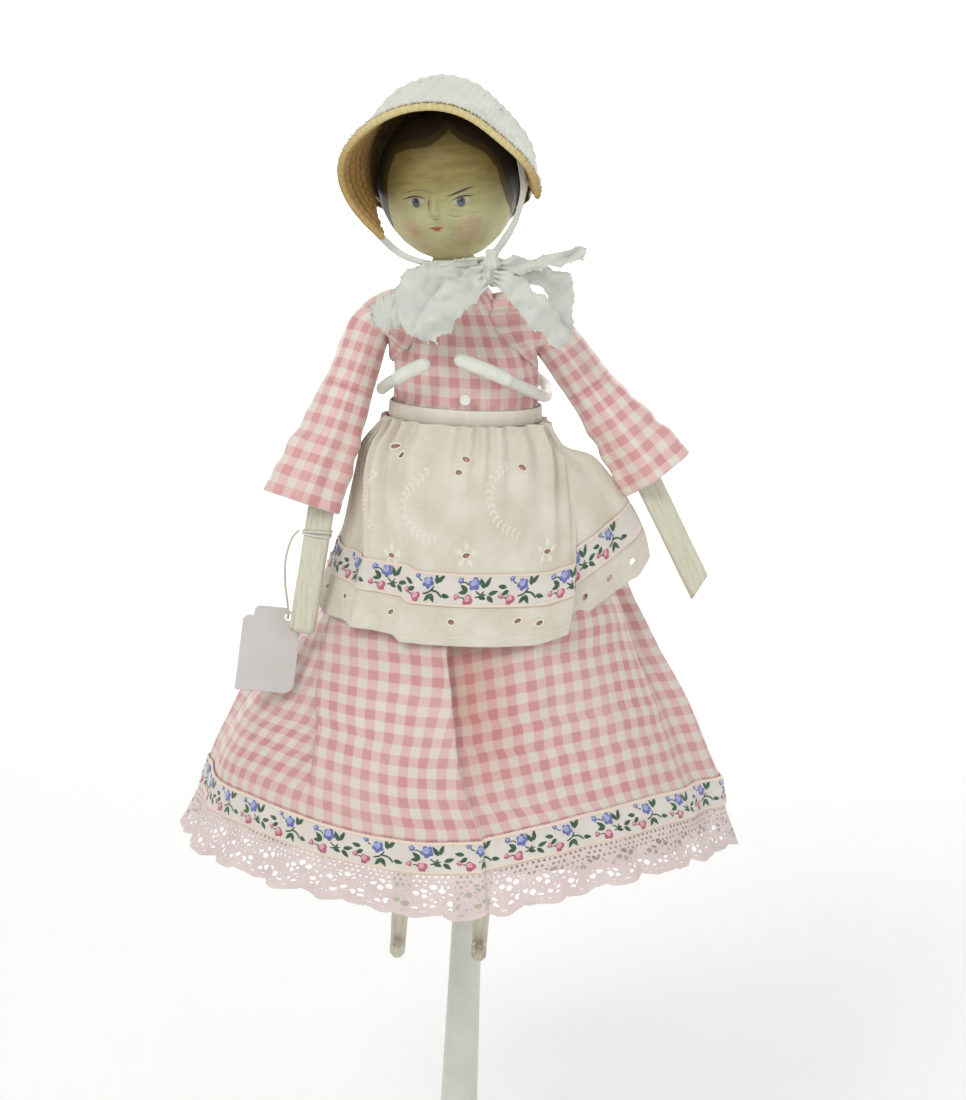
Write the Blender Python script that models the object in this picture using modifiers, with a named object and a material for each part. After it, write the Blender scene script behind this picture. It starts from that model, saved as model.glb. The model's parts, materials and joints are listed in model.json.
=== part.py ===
"""A jointed peg-wooden doll in a bonnet, gingham dress and apron, held at the waist on a post stand.

Metres, +Z up.  The origin is the centre of the base's underside, on the post's axis.  The doll faces
-Y, and "right" and "left" are the doll's own, so its right side is at -X.
"""

import math

import bmesh
import bpy
from mathutils import Matrix, Vector

MM = 0.001
GAP = 0.3 * MM
NAME = "peg_wooden_doll"

# Stand: pad, base plate, tapered post and the sliding rod inside it.
PAD_RADIUS, PAD_THICKNESS = 53 * MM, 1.5 * MM
BASE_RADIUS = 56 * MM
BASE_TOP = 12 * MM
POST_FOOT, POST_TOP = 12.3 * MM, 172 * MM
POST_FOOT_RADIUS, POST_TOP_RADIUS = 7.2 * MM, 4.15 * MM
ROD_RADIUS, ROD_BORE = 2.5 * MM, 2.8 * MM
ROD_FOOT, ROD_TOP = 60 * MM, 315 * MM
COLLAR_RADIUS, COLLAR_FOOT, COLLAR_TOP = 7.5 * MM, 166 * MM, 184 * MM
SCREW_HEIGHT = 178 * MM
BLOCK_FOOT, BLOCK_TOP = 306 * MM, 318 * MM
WIRE_RADIUS, TIP_RADIUS = 1.9 * MM, 2.25 * MM

# Doll: its axis stands in front of the post, and its trunk leans to its own right at the waist.
DOLL_Y = -25 * MM
WAIST = Vector((-8.5 * MM, DOLL_Y, 304 * MM))
LEAN = math.radians(-6)
HEAD_CENTRE, HEAD_HALF_HEIGHT, HEAD_RADIUS = 69.5 * MM, 23.5 * MM, 22.2 * MM
FACE_TURN = math.radians(-8)
LIMB_THICKNESS = 9 * MM
TONGUE, SLOT = 3.0 * MM, 3.8 * MM
PEG_RADIUS, PEG_HOLE = 2.2 * MM, 2.55 * MM
PIN_RADIUS, PIN_HOLE = 1.0 * MM, 1.3 * MM

# Each arm: shoulder, elbow and fingertip in the front plane (x, z), and how far it swings forward.
ARMS = {
    "right": ((-37, 330), (-51, 281.5), (-57.5, 229), 13.0),
    "left": ((16, 330), (47.8, 290), (74.1, 242), 3.0),
}
# Each leg: hip and foot in the front plane, and how far it swings forward.
LEGS = {"right": ((-19.0, 272), (-23.2, 114.5), 2.0), "left": ((8.6, 272), (4.4, 114.5), 2.0)}
THIGH_LENGTH, SHIN_LENGTH = 77 * MM, 80.5 * MM

# Cloth sections, as (height, centre x, half width, half depth) in millimetres.
BODICE = [
    (300.0, -7.6, 24.6, 18.0),
    (306.0, -7.6, 24.0, 17.8),
    (313.0, -7.8, 24.6, 18.2),
    (319.0, -8.6, 24.4, 18.0),
    (325.0, -9.6, 22.4, 17.0),
    (331.0, -11.0, 19.8, 14.8),
    (337.0, -11.8, 15.6, 11.8),
    (342.0, -12.3, 10.0, 9.4),
]
SKIRT = [
    (299.0, -7.6, 25.6, 18.8),
    (290.0, -7.2, 30.0, 23.0),
    (272.0, -5.0, 36.0, 29.0),
    (256.0, -3.0, 42.0, 33.5),
    (240.0, -2.0, 48.0, 37.5),
    (222.0, -2.5, 57.5, 42.5),
    (205.0, -4.0, 71.0, 50.5),
    (184.0, -3.0, 82.5, 59.5),
    (165.0, -3.5, 87.3, 63.5),
]
LACE_TOP, LACE_FOOT, LACE_SPREAD = 164.4, 151.5, 2.0
PETTICOAT_TOP, PETTICOAT_FOOT, PETTICOAT_INSET = 286.0, 156.0, 3.6
APRON_TOP, APRON_FOOT, APRON_OUTSET = 298.4, 238.5, 2.4
RIBBON_OUTSET = 0.6
CLOTH = 0.9 * MM

parts = None
cutters = None


def clear_scene():
    for obj in list(bpy.data.objects):
        bpy.data.objects.remove(obj, do_unlink=True)


def new_collection(name):
    collection = bpy.data.collections.new(name)
    bpy.context.scene.collection.children.link(collection)
    return collection


def material(name, colour, roughness, metallic=0.0):
    made = bpy.data.materials.get(name) or bpy.data.materials.new(name)
    made.use_nodes = True
    shader = made.node_tree.nodes["Principled BSDF"]
    shader.inputs["Base Color"].default_value = (*colour, 1.0)
    shader.inputs["Roughness"].default_value = roughness
    shader.inputs["Metallic"].default_value = metallic
    return made


def empty(name, matrix, parent=None):
    made = bpy.data.objects.new(name, None)
    parts.objects.link(made)
    made.parent = parent
    made.matrix_basis = matrix
    return made


def keep(name, data, finish, parent=None, matrix=Matrix()):
    """Links a mesh or curve as one named piece of the doll."""
    made = bpy.data.objects.new(name, data)
    parts.objects.link(made)
    if finish is not None:
        made.data.materials.append(finish)
    made.parent = parent
    made.matrix_basis = matrix
    return made


def cutter(name, data, parent=None, matrix=Matrix()):
    made = bpy.data.objects.new(name, data)
    cutters.objects.link(made)
    made.hide_render = True
    made.display_type = "WIRE"
    made.parent = parent
    made.matrix_basis = matrix
    return made


def join_to(obj, other, operation):
    made = obj.modifiers.new(other.name, "BOOLEAN")
    made.operation = operation
    made.solver = "EXACT"
    made.object = other


def mesh_from(name, build):
    """A mesh filled in by build(bm)."""
    mesh = bpy.data.meshes.new(name)
    bm = bmesh.new()
    build(bm)
    bmesh.ops.recalc_face_normals(bm, faces=bm.faces)
    bm.to_mesh(mesh)
    bm.free()
    return mesh


def box_mesh(name, low, high):
    size = [b - a for a, b in zip(low, high)]
    middle = [(a + b) / 2 for a, b in zip(low, high)]
    scale = Matrix.Diagonal((*size, 1))
    return mesh_from(
        name, lambda bm: bmesh.ops.create_cube(bm, size=1, matrix=Matrix.Translation(middle) @ scale)
    )


def rod_mesh(name, radius, length, segments=16):
    """A rod along +Z from the origin, with flat ends."""
    return mesh_from(
        name,
        lambda bm: bmesh.ops.create_cone(
            bm,
            cap_ends=True,
            segments=segments,
            radius1=radius,
            radius2=radius,
            depth=length,
            matrix=Matrix.Translation((0, 0, length / 2)),
        ),
    )


def ball_mesh(name, half, u=10, v=7):
    scale = Matrix.Diagonal((*half, 1))
    return mesh_from(
        name, lambda bm: bmesh.ops.create_uvsphere(bm, u_segments=u, v_segments=v, radius=1, matrix=scale)
    )


def turned(obj_name, profile, steps, finish, closed=False, parent=None, matrix=Matrix()):
    """A turned piece: (radius, height) points, running down the outer side, about local Z."""
    mesh = bpy.data.meshes.new(obj_name)
    bm = bmesh.new()
    points = [bm.verts.new((r, 0, z)) for r, z in profile]
    pairs = list(zip(points, points[1:])) + ([(points[-1], points[0])] if closed else [])
    for a, b in pairs:
        bm.edges.new((a, b))
    bm.to_mesh(mesh)
    bm.free()
    made = keep(obj_name, mesh, finish, parent, matrix)
    screw = made.modifiers.new("Turn", "SCREW")
    screw.steps = steps
    screw.render_steps = steps
    screw.use_merge_vertices = True
    screw.merge_threshold = 0.00001
    return made


def wire(name, points, radius, finish, parent=None, resolution=2):
    """A round wire through the points, with flat filled ends."""
    data = bpy.data.curves.new(name, "CURVE")
    data.dimensions = "3D"
    data.bevel_depth = radius
    data.bevel_resolution = resolution
    data.use_fill_caps = True
    spline = data.splines.new("POLY")
    spline.points.add(len(points) - 1)
    for place, point in zip(spline.points, points):
        place.co = (*point, 1)
    return keep(name, data, finish, parent)


def smooth_route(points, count):
    """Evenly numbered points on a smooth curve through the given ones."""
    ends = [2 * points[0] - points[1], *points, 2 * points[-1] - points[-2]]
    route = []
    for step in range(count):
        t = step / (count - 1) * (len(points) - 1)
        i = min(int(t), len(points) - 2)
        f = t - i
        a, b, c, d = ends[i : i + 4]
        route.append(
            0.5
            * (2 * b + (c - a) * f + (2 * a - 5 * b + 4 * c - d) * f**2 + (3 * b - a - 3 * c + d) * f**3)
        )
    return route


def vectors(points):
    return [Vector(p) * MM for p in points]


def section(table, z):
    """Centre x, half width and half depth at a height, between the table's rows."""
    rows = sorted(table)
    z = min(max(z, rows[0][0]), rows[-1][0])
    for low, high in zip(rows, rows[1:]):
        if z <= high[0]:
            f = (z - low[0]) / (high[0] - low[0])
            return [a + (b - a) * f for a, b in zip(low[1:], high[1:])]
    return list(rows[-1][1:])


def cloth(name, rings, finish, closed=True, thickness=CLOTH, outwards=1):
    """A shell lofted through rings of points, thickened outwards (or inwards) from them."""

    def build(bm):
        grid = [[bm.verts.new(p) for p in ring] for ring in rings]
        last = len(grid[0]) - (0 if closed else 1)
        for upper, lower in zip(grid, grid[1:]):
            for i in range(last):
                j = (i + 1) % len(upper)
                bm.faces.new((upper[i], lower[i], lower[j], upper[j]))

    mesh = bpy.data.meshes.new(name)
    bm = bmesh.new()
    build(bm)
    bm.to_mesh(mesh)
    bm.free()
    made = keep(name, mesh, finish)
    solid = made.modifiers.new("Cloth", "SOLIDIFY")
    solid.thickness = thickness
    solid.offset = outwards
    return made


def oval(table, z, outset=0.0, count=24, start=0.0, stop=360.0):
    """Points round a section; 0 degrees is the doll's front, and angles grow towards +X."""
    centre, width, depth = section(table, z)
    whole = abs(stop - start) >= 360
    steps = count if whole else count - 1
    ring = []
    for i in range(count):
        angle = math.radians(start + (stop - start) * i / steps)
        x = centre + (width + outset) * math.sin(angle)
        y = DOLL_Y / MM - (depth + outset) * math.cos(angle)
        ring.append(Vector((x, y, z)) * MM)
    return ring


def stand(paint, metal, felt):
    pad = rod_mesh("base_pad", PAD_RADIUS, PAD_THICKNESS, 28)
    keep("base_pad", pad, felt)
    bore, head_bore = 2.3 * MM, 4.8 * MM
    plate = [
        (bore, BASE_TOP),
        (9 * MM, BASE_TOP),
        (10.5 * MM, 9.6 * MM),
        (49 * MM, 8.4 * MM),
        (54.6 * MM, 6.8 * MM),
        (BASE_RADIUS, 4.8 * MM),
        (BASE_RADIUS, 2.6 * MM),
        (55.2 * MM, 1.8 * MM),
        (head_bore, 1.8 * MM),
        (head_bore, 6 * MM),
        (bore, 6 * MM),
    ]
    turned("base_plate", plate, 28, paint, closed=True)
    screw = [(0, 26), (2.0, 26), (2.0, 5.7), (4.4, 5.7), (4.4, 2.3), (0, 2.3)]
    turned("base_screw", [(r * MM, z * MM) for r, z in screw], 12, metal)
    post = [
        (POST_TOP_RADIUS, POST_TOP),
        (POST_FOOT_RADIUS, POST_FOOT),
        (bore, POST_FOOT),
        (bore, 28 * MM),
        (ROD_BORE, 28.6 * MM),
        (ROD_BORE, POST_TOP),
    ]
    turned("post", post, 20, paint, closed=True)
    cap = POST_TOP + GAP
    inner = POST_TOP_RADIUS + 0.5 * MM
    ring = [
        (COLLAR_RADIUS - 0.6 * MM, COLLAR_TOP),
        (COLLAR_RADIUS, COLLAR_TOP - 0.6 * MM),
        (COLLAR_RADIUS, COLLAR_FOOT),
        (inner, COLLAR_FOOT),
        (inner, cap),
        (ROD_BORE, cap),
        (ROD_BORE, COLLAR_TOP),
    ]
    collar = turned("collar", ring, 18, metal, closed=True)
    backwards = Matrix.Translation((0, 0, SCREW_HEIGHT)) @ Matrix.Rotation(math.radians(-90), 4, "X")
    hole = cutter("thumb_screw_hole", rod_mesh("thumb_screw_hole", 1.85 * MM, 20 * MM), None, backwards)
    join_to(collar, hole, "DIFFERENCE")


def thumb_screw(metal):
    """A wing screw on the collar's back, turning about Y."""
    axis = Matrix.Translation((0, 0, SCREW_HEIGHT)) @ Matrix.Rotation(math.radians(-90), 4, "X")
    pivot = empty("thumb_screw_axis", axis)
    profile = [(0, 13), (2.6, 13), (3.0, 12.5), (3.0, 8.2), (1.5, 8.2), (1.5, 2.95), (0, 2.95)]
    screw = turned("thumb_screw", [(r * MM, z * MM) for r, z in profile], 12, metal, parent=pivot)
    wing = box_mesh("thumb_screw_wing", Vector((-7, -1.1, 9.4)) * MM, Vector((7, 1.1, 15.4)) * MM)
    wings = cutter("thumb_screw_wing", wing, pivot)
    soft = wings.modifiers.new("Round", "BEVEL")
    soft.width = 0.8 * MM
    soft.segments = 1
    join_to(screw, wings, "UNION")


def holder(metal, paint, rubber):
    """The rod that slides in the post, its block, and the two padded wire arms round the waist."""
    rod = rod_mesh("rod", ROD_RADIUS, ROD_TOP - ROD_FOOT, 20)
    keep("rod", rod, metal, None, Matrix.Translation((0, 0, ROD_FOOT)))
    low = Vector((-8 * MM, -4 * MM, BLOCK_FOOT))
    high = Vector((8 * MM, 4.5 * MM, BLOCK_TOP))
    block = keep("clip_block", box_mesh("clip_block", low, high), paint)
    rounded = block.modifiers.new("Round", "BEVEL")
    rounded.width = 0.8 * MM
    rounded.segments = 1
    socket = rod_mesh("rod_socket", ROD_BORE, 20 * MM)
    place = Matrix.Translation((0, 0, ROD_TOP + GAP - 20 * MM))
    join_to(block, cutter("rod_socket", socket, None, place), "DIFFERENCE")
    across = Matrix.Translation((-20 * MM, 0, 311 * MM)) @ Matrix.Rotation(math.radians(90), 4, "Y")
    sockets = rod_mesh("wire_sockets", WIRE_RADIUS + GAP, 40 * MM)
    join_to(block, cutter("wire_sockets", sockets, None, across), "DIFFERENCE")
    routes = {
        "right": (
            [(-3.4, 0, 311), (-9, 0, 311), (-17, -0.6, 311), (-27, -4, 309), (-33.5, -12.5, 307.6)],
            [(-34.7, -24, 307.4), (-33.4, -36, 310), (-29.2, -44.6, 314.2)],
            [(-28.6, -45.3, 314.6), (-25.4, -47.8, 317), (-20.8, -49.3, 319.6)],
        ),
        "left": (
            [(3.4, 0, 311), (9, 0, 311), (14, -2, 310.4), (17.6, -8, 309), (18.4, -16, 307.6)],
            [(17.8, -28, 307.8), (13.4, -39.6, 311), (5.5, -47, 315.6)],
            [(4.9, -47.5, 315.9), (-1.8, -50.2, 319), (-9.4, -51.2, 321.8)],
        ),
    }
    for side, (back, front, tip) in routes.items():
        arm = smooth_route(vectors(back + front), 15)
        wire(f"clip_arm_{side}", arm, WIRE_RADIUS, paint)
        wire(f"clip_tip_{side}", smooth_route(vectors(tip), 5), TIP_RADIUS, rubber)


def head_profile():
    """Down the outer side: crown, brow, cheeks, chin and neck of the turned head."""
    outline = [(0.0, HEAD_CENTRE + HEAD_HALF_HEIGHT)]
    steps = 12
    for i in range(1, steps):
        u = math.cos(math.pi * i / steps)
        radius = HEAD_RADIUS * math.sqrt(1 - u * u) * (1 + 0.05 * u)
        if u > -0.95:
            outline.append((radius, HEAD_CENTRE + HEAD_HALF_HEIGHT * u))
    neck = 6.3 * MM
    return outline + [(neck, 45.5 * MM), (neck, 30 * MM), (0, 30 * MM)]


def trunk(wood, lean):
    body = [
        (0, 35),
        (8, 34),
        (12.6, 31),
        (15.8, 24),
        (15.2, 12),
        (12.5, 0),
        (10.5, -12),
        (8.8, -22),
        (8.4, -41),
        (0, -41),
    ]
    profile = [(r * MM, z * MM) for r, z in body]
    made = turned("head_and_torso", profile, 16, wood, parent=lean)
    flatten = Matrix.Diagonal((1, 0.72, 1, 1))
    made.matrix_basis = flatten
    head = turned("head_turning", head_profile(), 20, wood, parent=lean)
    for collection in list(head.users_collection):
        collection.objects.unlink(head)
    cutters.objects.link(head)
    head.hide_render = True
    head.display_type = "WIRE"
    join_to(made, head, "UNION")
    return made


def nose(wood, torso):
    """A small wedge let into a notch in the face."""
    middle = Vector((-15.9, -25, 364.6)) * MM
    forwards = Matrix.Translation(middle) @ Matrix.Rotation(FACE_TURN, 4, "Z")

    def wedge(half_width, top, bottom, back, front):
        def build(bm):
            corners = [(-half_width, back, bottom), (half_width, back, bottom)]
            corners += [(half_width, back, top), (-half_width, back, top)]
            corners += [(0.55 * half_width, front, bottom), (-0.55 * half_width, front, bottom)]
            verts = [bm.verts.new(Vector(c) * MM) for c in corners]
            ridge = bm.verts.new(Vector((0, back - 1.2, top)) * MM)
            bm.faces.new((verts[0], verts[1], verts[2], verts[3]))
            bm.faces.new((verts[1], verts[0], verts[5], verts[4]))
            bm.faces.new((verts[0], verts[3], ridge, verts[5]))
            bm.faces.new((verts[2], verts[1], verts[4], ridge))
            bm.faces.new((verts[3], verts[2], ridge))
            bm.faces.new((verts[4], verts[5], ridge))

        return build

    keep("nose", mesh_from("nose", wedge(1.9, 4.2, -1.8, -19.6, -25.0)), wood, None, forwards)
    low, high = Vector((-2.25, -30, -2.15)) * MM, Vector((2.25, -19.2, 4.55)) * MM
    notch = cutter("nose_notch", box_mesh("nose_notch", low, high), None, forwards)
    join_to(torso, notch, "DIFFERENCE")


def limb_frame(start, end, forward):
    """A frame at a joint: X is its hinge axis, -Z runs down the limb, and it is swung forwards."""
    across = Vector((end[0] - start[0], 0, end[1] - start[1])).normalized()
    up = -across
    axis = Vector((0, 1, 0)).cross(up)
    turn = Matrix((axis, (0, 1, 0), up)).transposed().to_4x4()
    place = Matrix.Translation(Vector((start[0] * MM, DOLL_Y, start[1] * MM)))
    return place @ turn @ Matrix.Rotation(math.radians(-forward), 4, "X")


def hinge_hole(obj, name, radius, parent, place=Matrix()):
    hole = rod_mesh(name, radius, 40 * MM)
    across = Matrix.Rotation(math.radians(90), 4, "Y") @ Matrix.Translation((0, 0, -20 * MM))
    join_to(obj, cutter(name, hole, parent, place @ across), "DIFFERENCE")


def bar(name, length, top, foot, depth, head_radius, foot_radius, finish, parent, kink=0.0, start=0.0):
    """A carved limb: a tapering bar down local -Z, with a round hinge knuckle at each end that has one."""

    def build(bm):
        bmesh.ops.create_cube(bm, size=1)
        for vert in bm.verts:
            at_top = vert.co.z > 0
            vert.co.x *= top if at_top else foot
            vert.co.y *= depth[0] if at_top else depth[1]
            vert.co.z = -start if at_top else -length
        bmesh.ops.rotate(bm, verts=bm.verts, cent=(0, 0, 0), matrix=Matrix.Rotation(kink, 3, "Y"))

    made = keep(name, mesh_from(name, build), finish, parent)
    soft = made.modifiers.new("Worn", "BEVEL")
    soft.width = 1.0 * MM
    soft.segments = 1
    knuckles = [(head_radius, 0.0, LIMB_THICKNESS), (foot_radius, -length, LIMB_THICKNESS)]
    for index, (radius, z, thick) in enumerate(knuckles):
        if radius:
            across = Matrix.Translation((-thick / 2, 0, z)) @ Matrix.Rotation(math.radians(90), 4, "Y")
            end_name = f"{name}_knuckle_{index}"
            disc = cutter(end_name, rod_mesh(end_name, radius, thick, 14), parent, across)
            join_to(made, disc, "UNION")
    return made


def tongue_at(obj, name, z, parent):
    """Leaves a thin tongue at a limb's lower end, by cutting both cheeks away."""
    outer = 12 * MM
    top = z + 5.4 * MM
    for index, side in enumerate((-1, 1)):
        edges = sorted((side * TONGUE / 2, side * outer))
        low = Vector((edges[0], -outer, z - outer))
        high = Vector((edges[1], outer, top))
        cheek_name = f"{name}_cheek_{index}"
        join_to(obj, cutter(cheek_name, box_mesh(cheek_name, low, high), parent), "DIFFERENCE")


def slot_at(obj, name, parent):
    """A slot across a limb's upper end, which takes the tongue above it."""
    outer = 12 * MM
    low, high = Vector((-SLOT / 2, -outer, -5.4 * MM)), Vector((SLOT / 2, outer, outer))
    join_to(obj, cutter(f"{name}_slot", box_mesh(f"{name}_slot", low, high), parent), "DIFFERENCE")


def arm(side, wood, torso, bodice):
    shoulder, elbow, tip, forward = ARMS[side]
    upper = limb_frame(shoulder, elbow, forward)
    socket = empty(f"shoulder_{side}_axis", upper)
    length = math.dist(shoulder, elbow) * MM
    thick = LIMB_THICKNESS
    name = f"upper_arm_{side}"
    made = bar(name, length, thick, 8.4 * MM, (9.5 * MM, 8 * MM), 5.8 * MM, 4.3 * MM, wood, socket)
    tongue_at(made, name, -length, socket)
    hinge_hole(made, f"{name}_peg_hole", PEG_HOLE, socket)
    hinge_hole(made, f"{name}_pin_hole", PIN_HOLE, socket, Matrix.Translation((0, 0, -length)))

    # The peg runs from inside the shoulder out through the arm.
    inward = 1 if side == "right" else -1
    reach = 15 * MM
    turn = Matrix.Rotation(math.radians(90), 4, "Y")
    start = -thick / 2 if side == "right" else -reach
    peg = rod_mesh(f"shoulder_peg_{side}", PEG_RADIUS, reach + thick / 2, 16)
    keep(f"shoulder_peg_{side}", peg, wood, socket, Matrix.Translation((start, 0, 0)) @ turn)

    # The shoulder is cut flat beside the arm, and bored for the peg.
    face = (thick / 2 + 0.5 * MM) * inward
    far = 30 * MM * -inward
    edges = sorted((face, far))
    low = Vector((edges[0], -20 * MM, -16 * MM))
    high = Vector((edges[1], 20 * MM, 14 * MM))
    flat = cutter(f"shoulder_flat_{side}", box_mesh(f"shoulder_flat_{side}", low, high), socket)
    join_to(torso, flat, "DIFFERENCE")
    bore = rod_mesh(f"shoulder_bore_{side}", PEG_HOLE, reach + 0.6 * MM, 16)
    start = 0.0 if side == "right" else -reach - 0.6 * MM
    bored = cutter(f"shoulder_bore_{side}", bore, socket, Matrix.Translation((start, 0, 0)) @ turn)
    join_to(torso, bored, "DIFFERENCE")
    armhole = rod_mesh(f"armhole_{side}", 6.6 * MM, reach, 12)
    start = -2 * MM if side == "right" else -reach + 2 * MM
    hole = cutter(f"armhole_{side}", armhole, socket, Matrix.Translation((start, 0, 0)) @ turn)
    join_to(bodice, hole, "DIFFERENCE")

    # The forearm hangs a little off the upper arm's line, and turns on a pin.
    fore_frame = Matrix.Translation((0, 0, -length))
    joint = empty(f"elbow_{side}_axis", fore_frame, socket)
    first = math.atan2(elbow[0] - shoulder[0], shoulder[1] - elbow[1])
    second = math.atan2(tip[0] - elbow[0], elbow[1] - tip[1])
    blade = math.dist(elbow, tip) * MM
    name = f"forearm_{side}"
    fore = bar(
        name, blade, 8.6 * MM, 8.2 * MM, (7.6 * MM, 6 * MM), 4.6 * MM, 0, wood, joint, kink=first - second
    )
    slot_at(fore, name, joint)
    hinge_hole(fore, f"{name}_pin_hole", PIN_HOLE, joint)
    trim_hand(fore, side, blade, joint, first - second)
    pin = rod_mesh(f"elbow_pin_{side}", PIN_RADIUS, 8.6 * MM, 12)
    centred = Matrix.Rotation(math.radians(90), 4, "Y") @ Matrix.Translation((0, 0, -4.3 * MM))
    keep(f"elbow_pin_{side}", pin, wood, joint, centred)


def trim_hand(fore, side, blade, joint, kink):
    """The right hand ends in a blunt chamfer and the left in a point."""
    turn = Matrix.Rotation(kink, 4, "Y")
    cuts = {"right": [(-4.1, -0.2, 38)], "left": [(4.1, -9, -32), (-4.1, -3.5, 50)]}[side]
    for index, (x, up, angle) in enumerate(cuts):
        place = turn @ Matrix.Translation((x * MM, 0, -blade - up * MM))
        place = place @ Matrix.Rotation(math.radians(angle), 4, "Y")
        low, high = Vector((-12, -8, -12)) * MM, Vector((12, 8, 0)) * MM
        name = f"hand_{side}_cut_{index}"
        join_to(fore, cutter(name, box_mesh(name, low, high), joint, place), "DIFFERENCE")


def leg(side, wood, shoe, torso):
    hip, foot, forward = LEGS[side]
    frame = limb_frame(hip, foot, forward)
    socket = empty(f"hip_{side}_axis", frame)
    thick = LIMB_THICKNESS
    name = f"thigh_{side}"
    made = bar(name, THIGH_LENGTH, thick, 8.6 * MM, (10 * MM, 8 * MM), 5.6 * MM, 4.3 * MM, wood, socket)
    tongue_at(made, name, -THIGH_LENGTH, socket)
    hinge_hole(made, f"{name}_peg_hole", PEG_HOLE, socket)
    hinge_hole(made, f"{name}_pin_hole", PIN_HOLE, socket, Matrix.Translation((0, 0, -THIGH_LENGTH)))
    inward = 1 if side == "right" else -1
    reach = 12.4 * MM
    turn = Matrix.Rotation(math.radians(90), 4, "Y")
    start = -thick / 2 if side == "right" else -reach
    peg = rod_mesh(f"hip_peg_{side}", PEG_RADIUS, reach + thick / 2, 16)
    keep(f"hip_peg_{side}", peg, wood, socket, Matrix.Translation((start, 0, 0)) @ turn)
    bore = rod_mesh(f"hip_bore_{side}", PEG_HOLE, reach + 0.5 * MM, 16)
    start = 0.0 if side == "right" else -reach - 0.5 * MM
    bored = cutter(f"hip_bore_{side}", bore, socket, Matrix.Translation((start, 0, 0)) @ turn)
    join_to(torso, bored, "DIFFERENCE")
    edges = sorted(((thick / 2 + 0.4 * MM) * inward, 30 * MM * -inward))
    low, high = Vector((edges[0], -20 * MM, -14 * MM)), Vector((edges[1], 20 * MM, 9 * MM))
    flat = cutter(f"hip_flat_{side}", box_mesh(f"hip_flat_{side}", low, high), socket)
    join_to(torso, flat, "DIFFERENCE")

    joint = empty(f"knee_{side}_axis", Matrix.Translation((0, 0, -THIGH_LENGTH)), socket)
    name = f"lower_leg_{side}"
    widths = (8.6 * MM, 5.0 * MM)
    shin = bar(name, SHIN_LENGTH, *widths, (8.6 * MM, 5.2 * MM), 4.6 * MM, 0, wood, joint)
    slot_at(shin, name, joint)
    hinge_hole(shin, f"{name}_pin_hole", PIN_HOLE, joint)
    low, high = Vector((-2.6, -7.5, -SHIN_LENGTH / MM)) * MM, Vector((2.6, 1.5, -74)) * MM
    toe = cutter(f"{name}_toe", box_mesh(f"{name}_toe", low, high), joint)
    soft = toe.modifiers.new("Round", "BEVEL")
    soft.width = 1.6 * MM
    soft.segments = 1
    join_to(shin, toe, "UNION")
    pin = rod_mesh(f"knee_pin_{side}", PIN_RADIUS, 8.4 * MM, 12)
    centred = Matrix.Rotation(math.radians(90), 4, "Y") @ Matrix.Translation((0, 0, -4.2 * MM))
    keep(f"knee_pin_{side}", pin, wood, joint, centred)
    shin.data.materials.append(shoe)


def sleeve(side, gingham):
    """A bell sleeve hanging round the arm, open at the cuff and on the inside of the shoulder."""
    shoulder, elbow, _, forward = ARMS[side]
    frame = limb_frame(shoulder, elbow, forward)
    out = -1 if side == "right" else 1
    # Distance down the arm, centre offset outwards, half width and half depth, in millimetres.
    stations = [
        (-9.5, 0.5, 3.5, 4.0),
        (-7.5, 0.5, 6.0, 7.0),
        (-2, 0.8, 7.2, 8.6),
        (8, 1.6, 7.2, 9.0),
        (22, 1.9, 7.6, 9.2),
        (38, 2.4, 9.4, 9.8),
        (54, 4.0, 11.4, 10.4),
        (63, 4.6, 12.4, 10.8),
    ]
    if side == "left":
        stations = [(t if t < 50 else t - 3.0, o * 0.5, w, d) for t, o, w, d in stations]
    rings = []
    for down, offset, width, depth in stations:
        ring = []
        for i in range(14):
            angle = math.tau * i / 14
            across = out * offset + width * math.sin(angle)
            local = Vector((across, -depth * math.cos(angle), -down)) * MM
            ring.append(frame @ local)
        rings.append(ring)
    made = cloth(f"sleeve_{side}", rings, gingham)
    edges = sorted((-out * 2.0, -out * 30))
    low, high = Vector((edges[0], -20, -15)) * MM, Vector((edges[1], 20, 20)) * MM
    name = f"sleeve_opening_{side}"
    join_to(made, cutter(name, box_mesh(name, low, high), None, frame), "DIFFERENCE")


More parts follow.
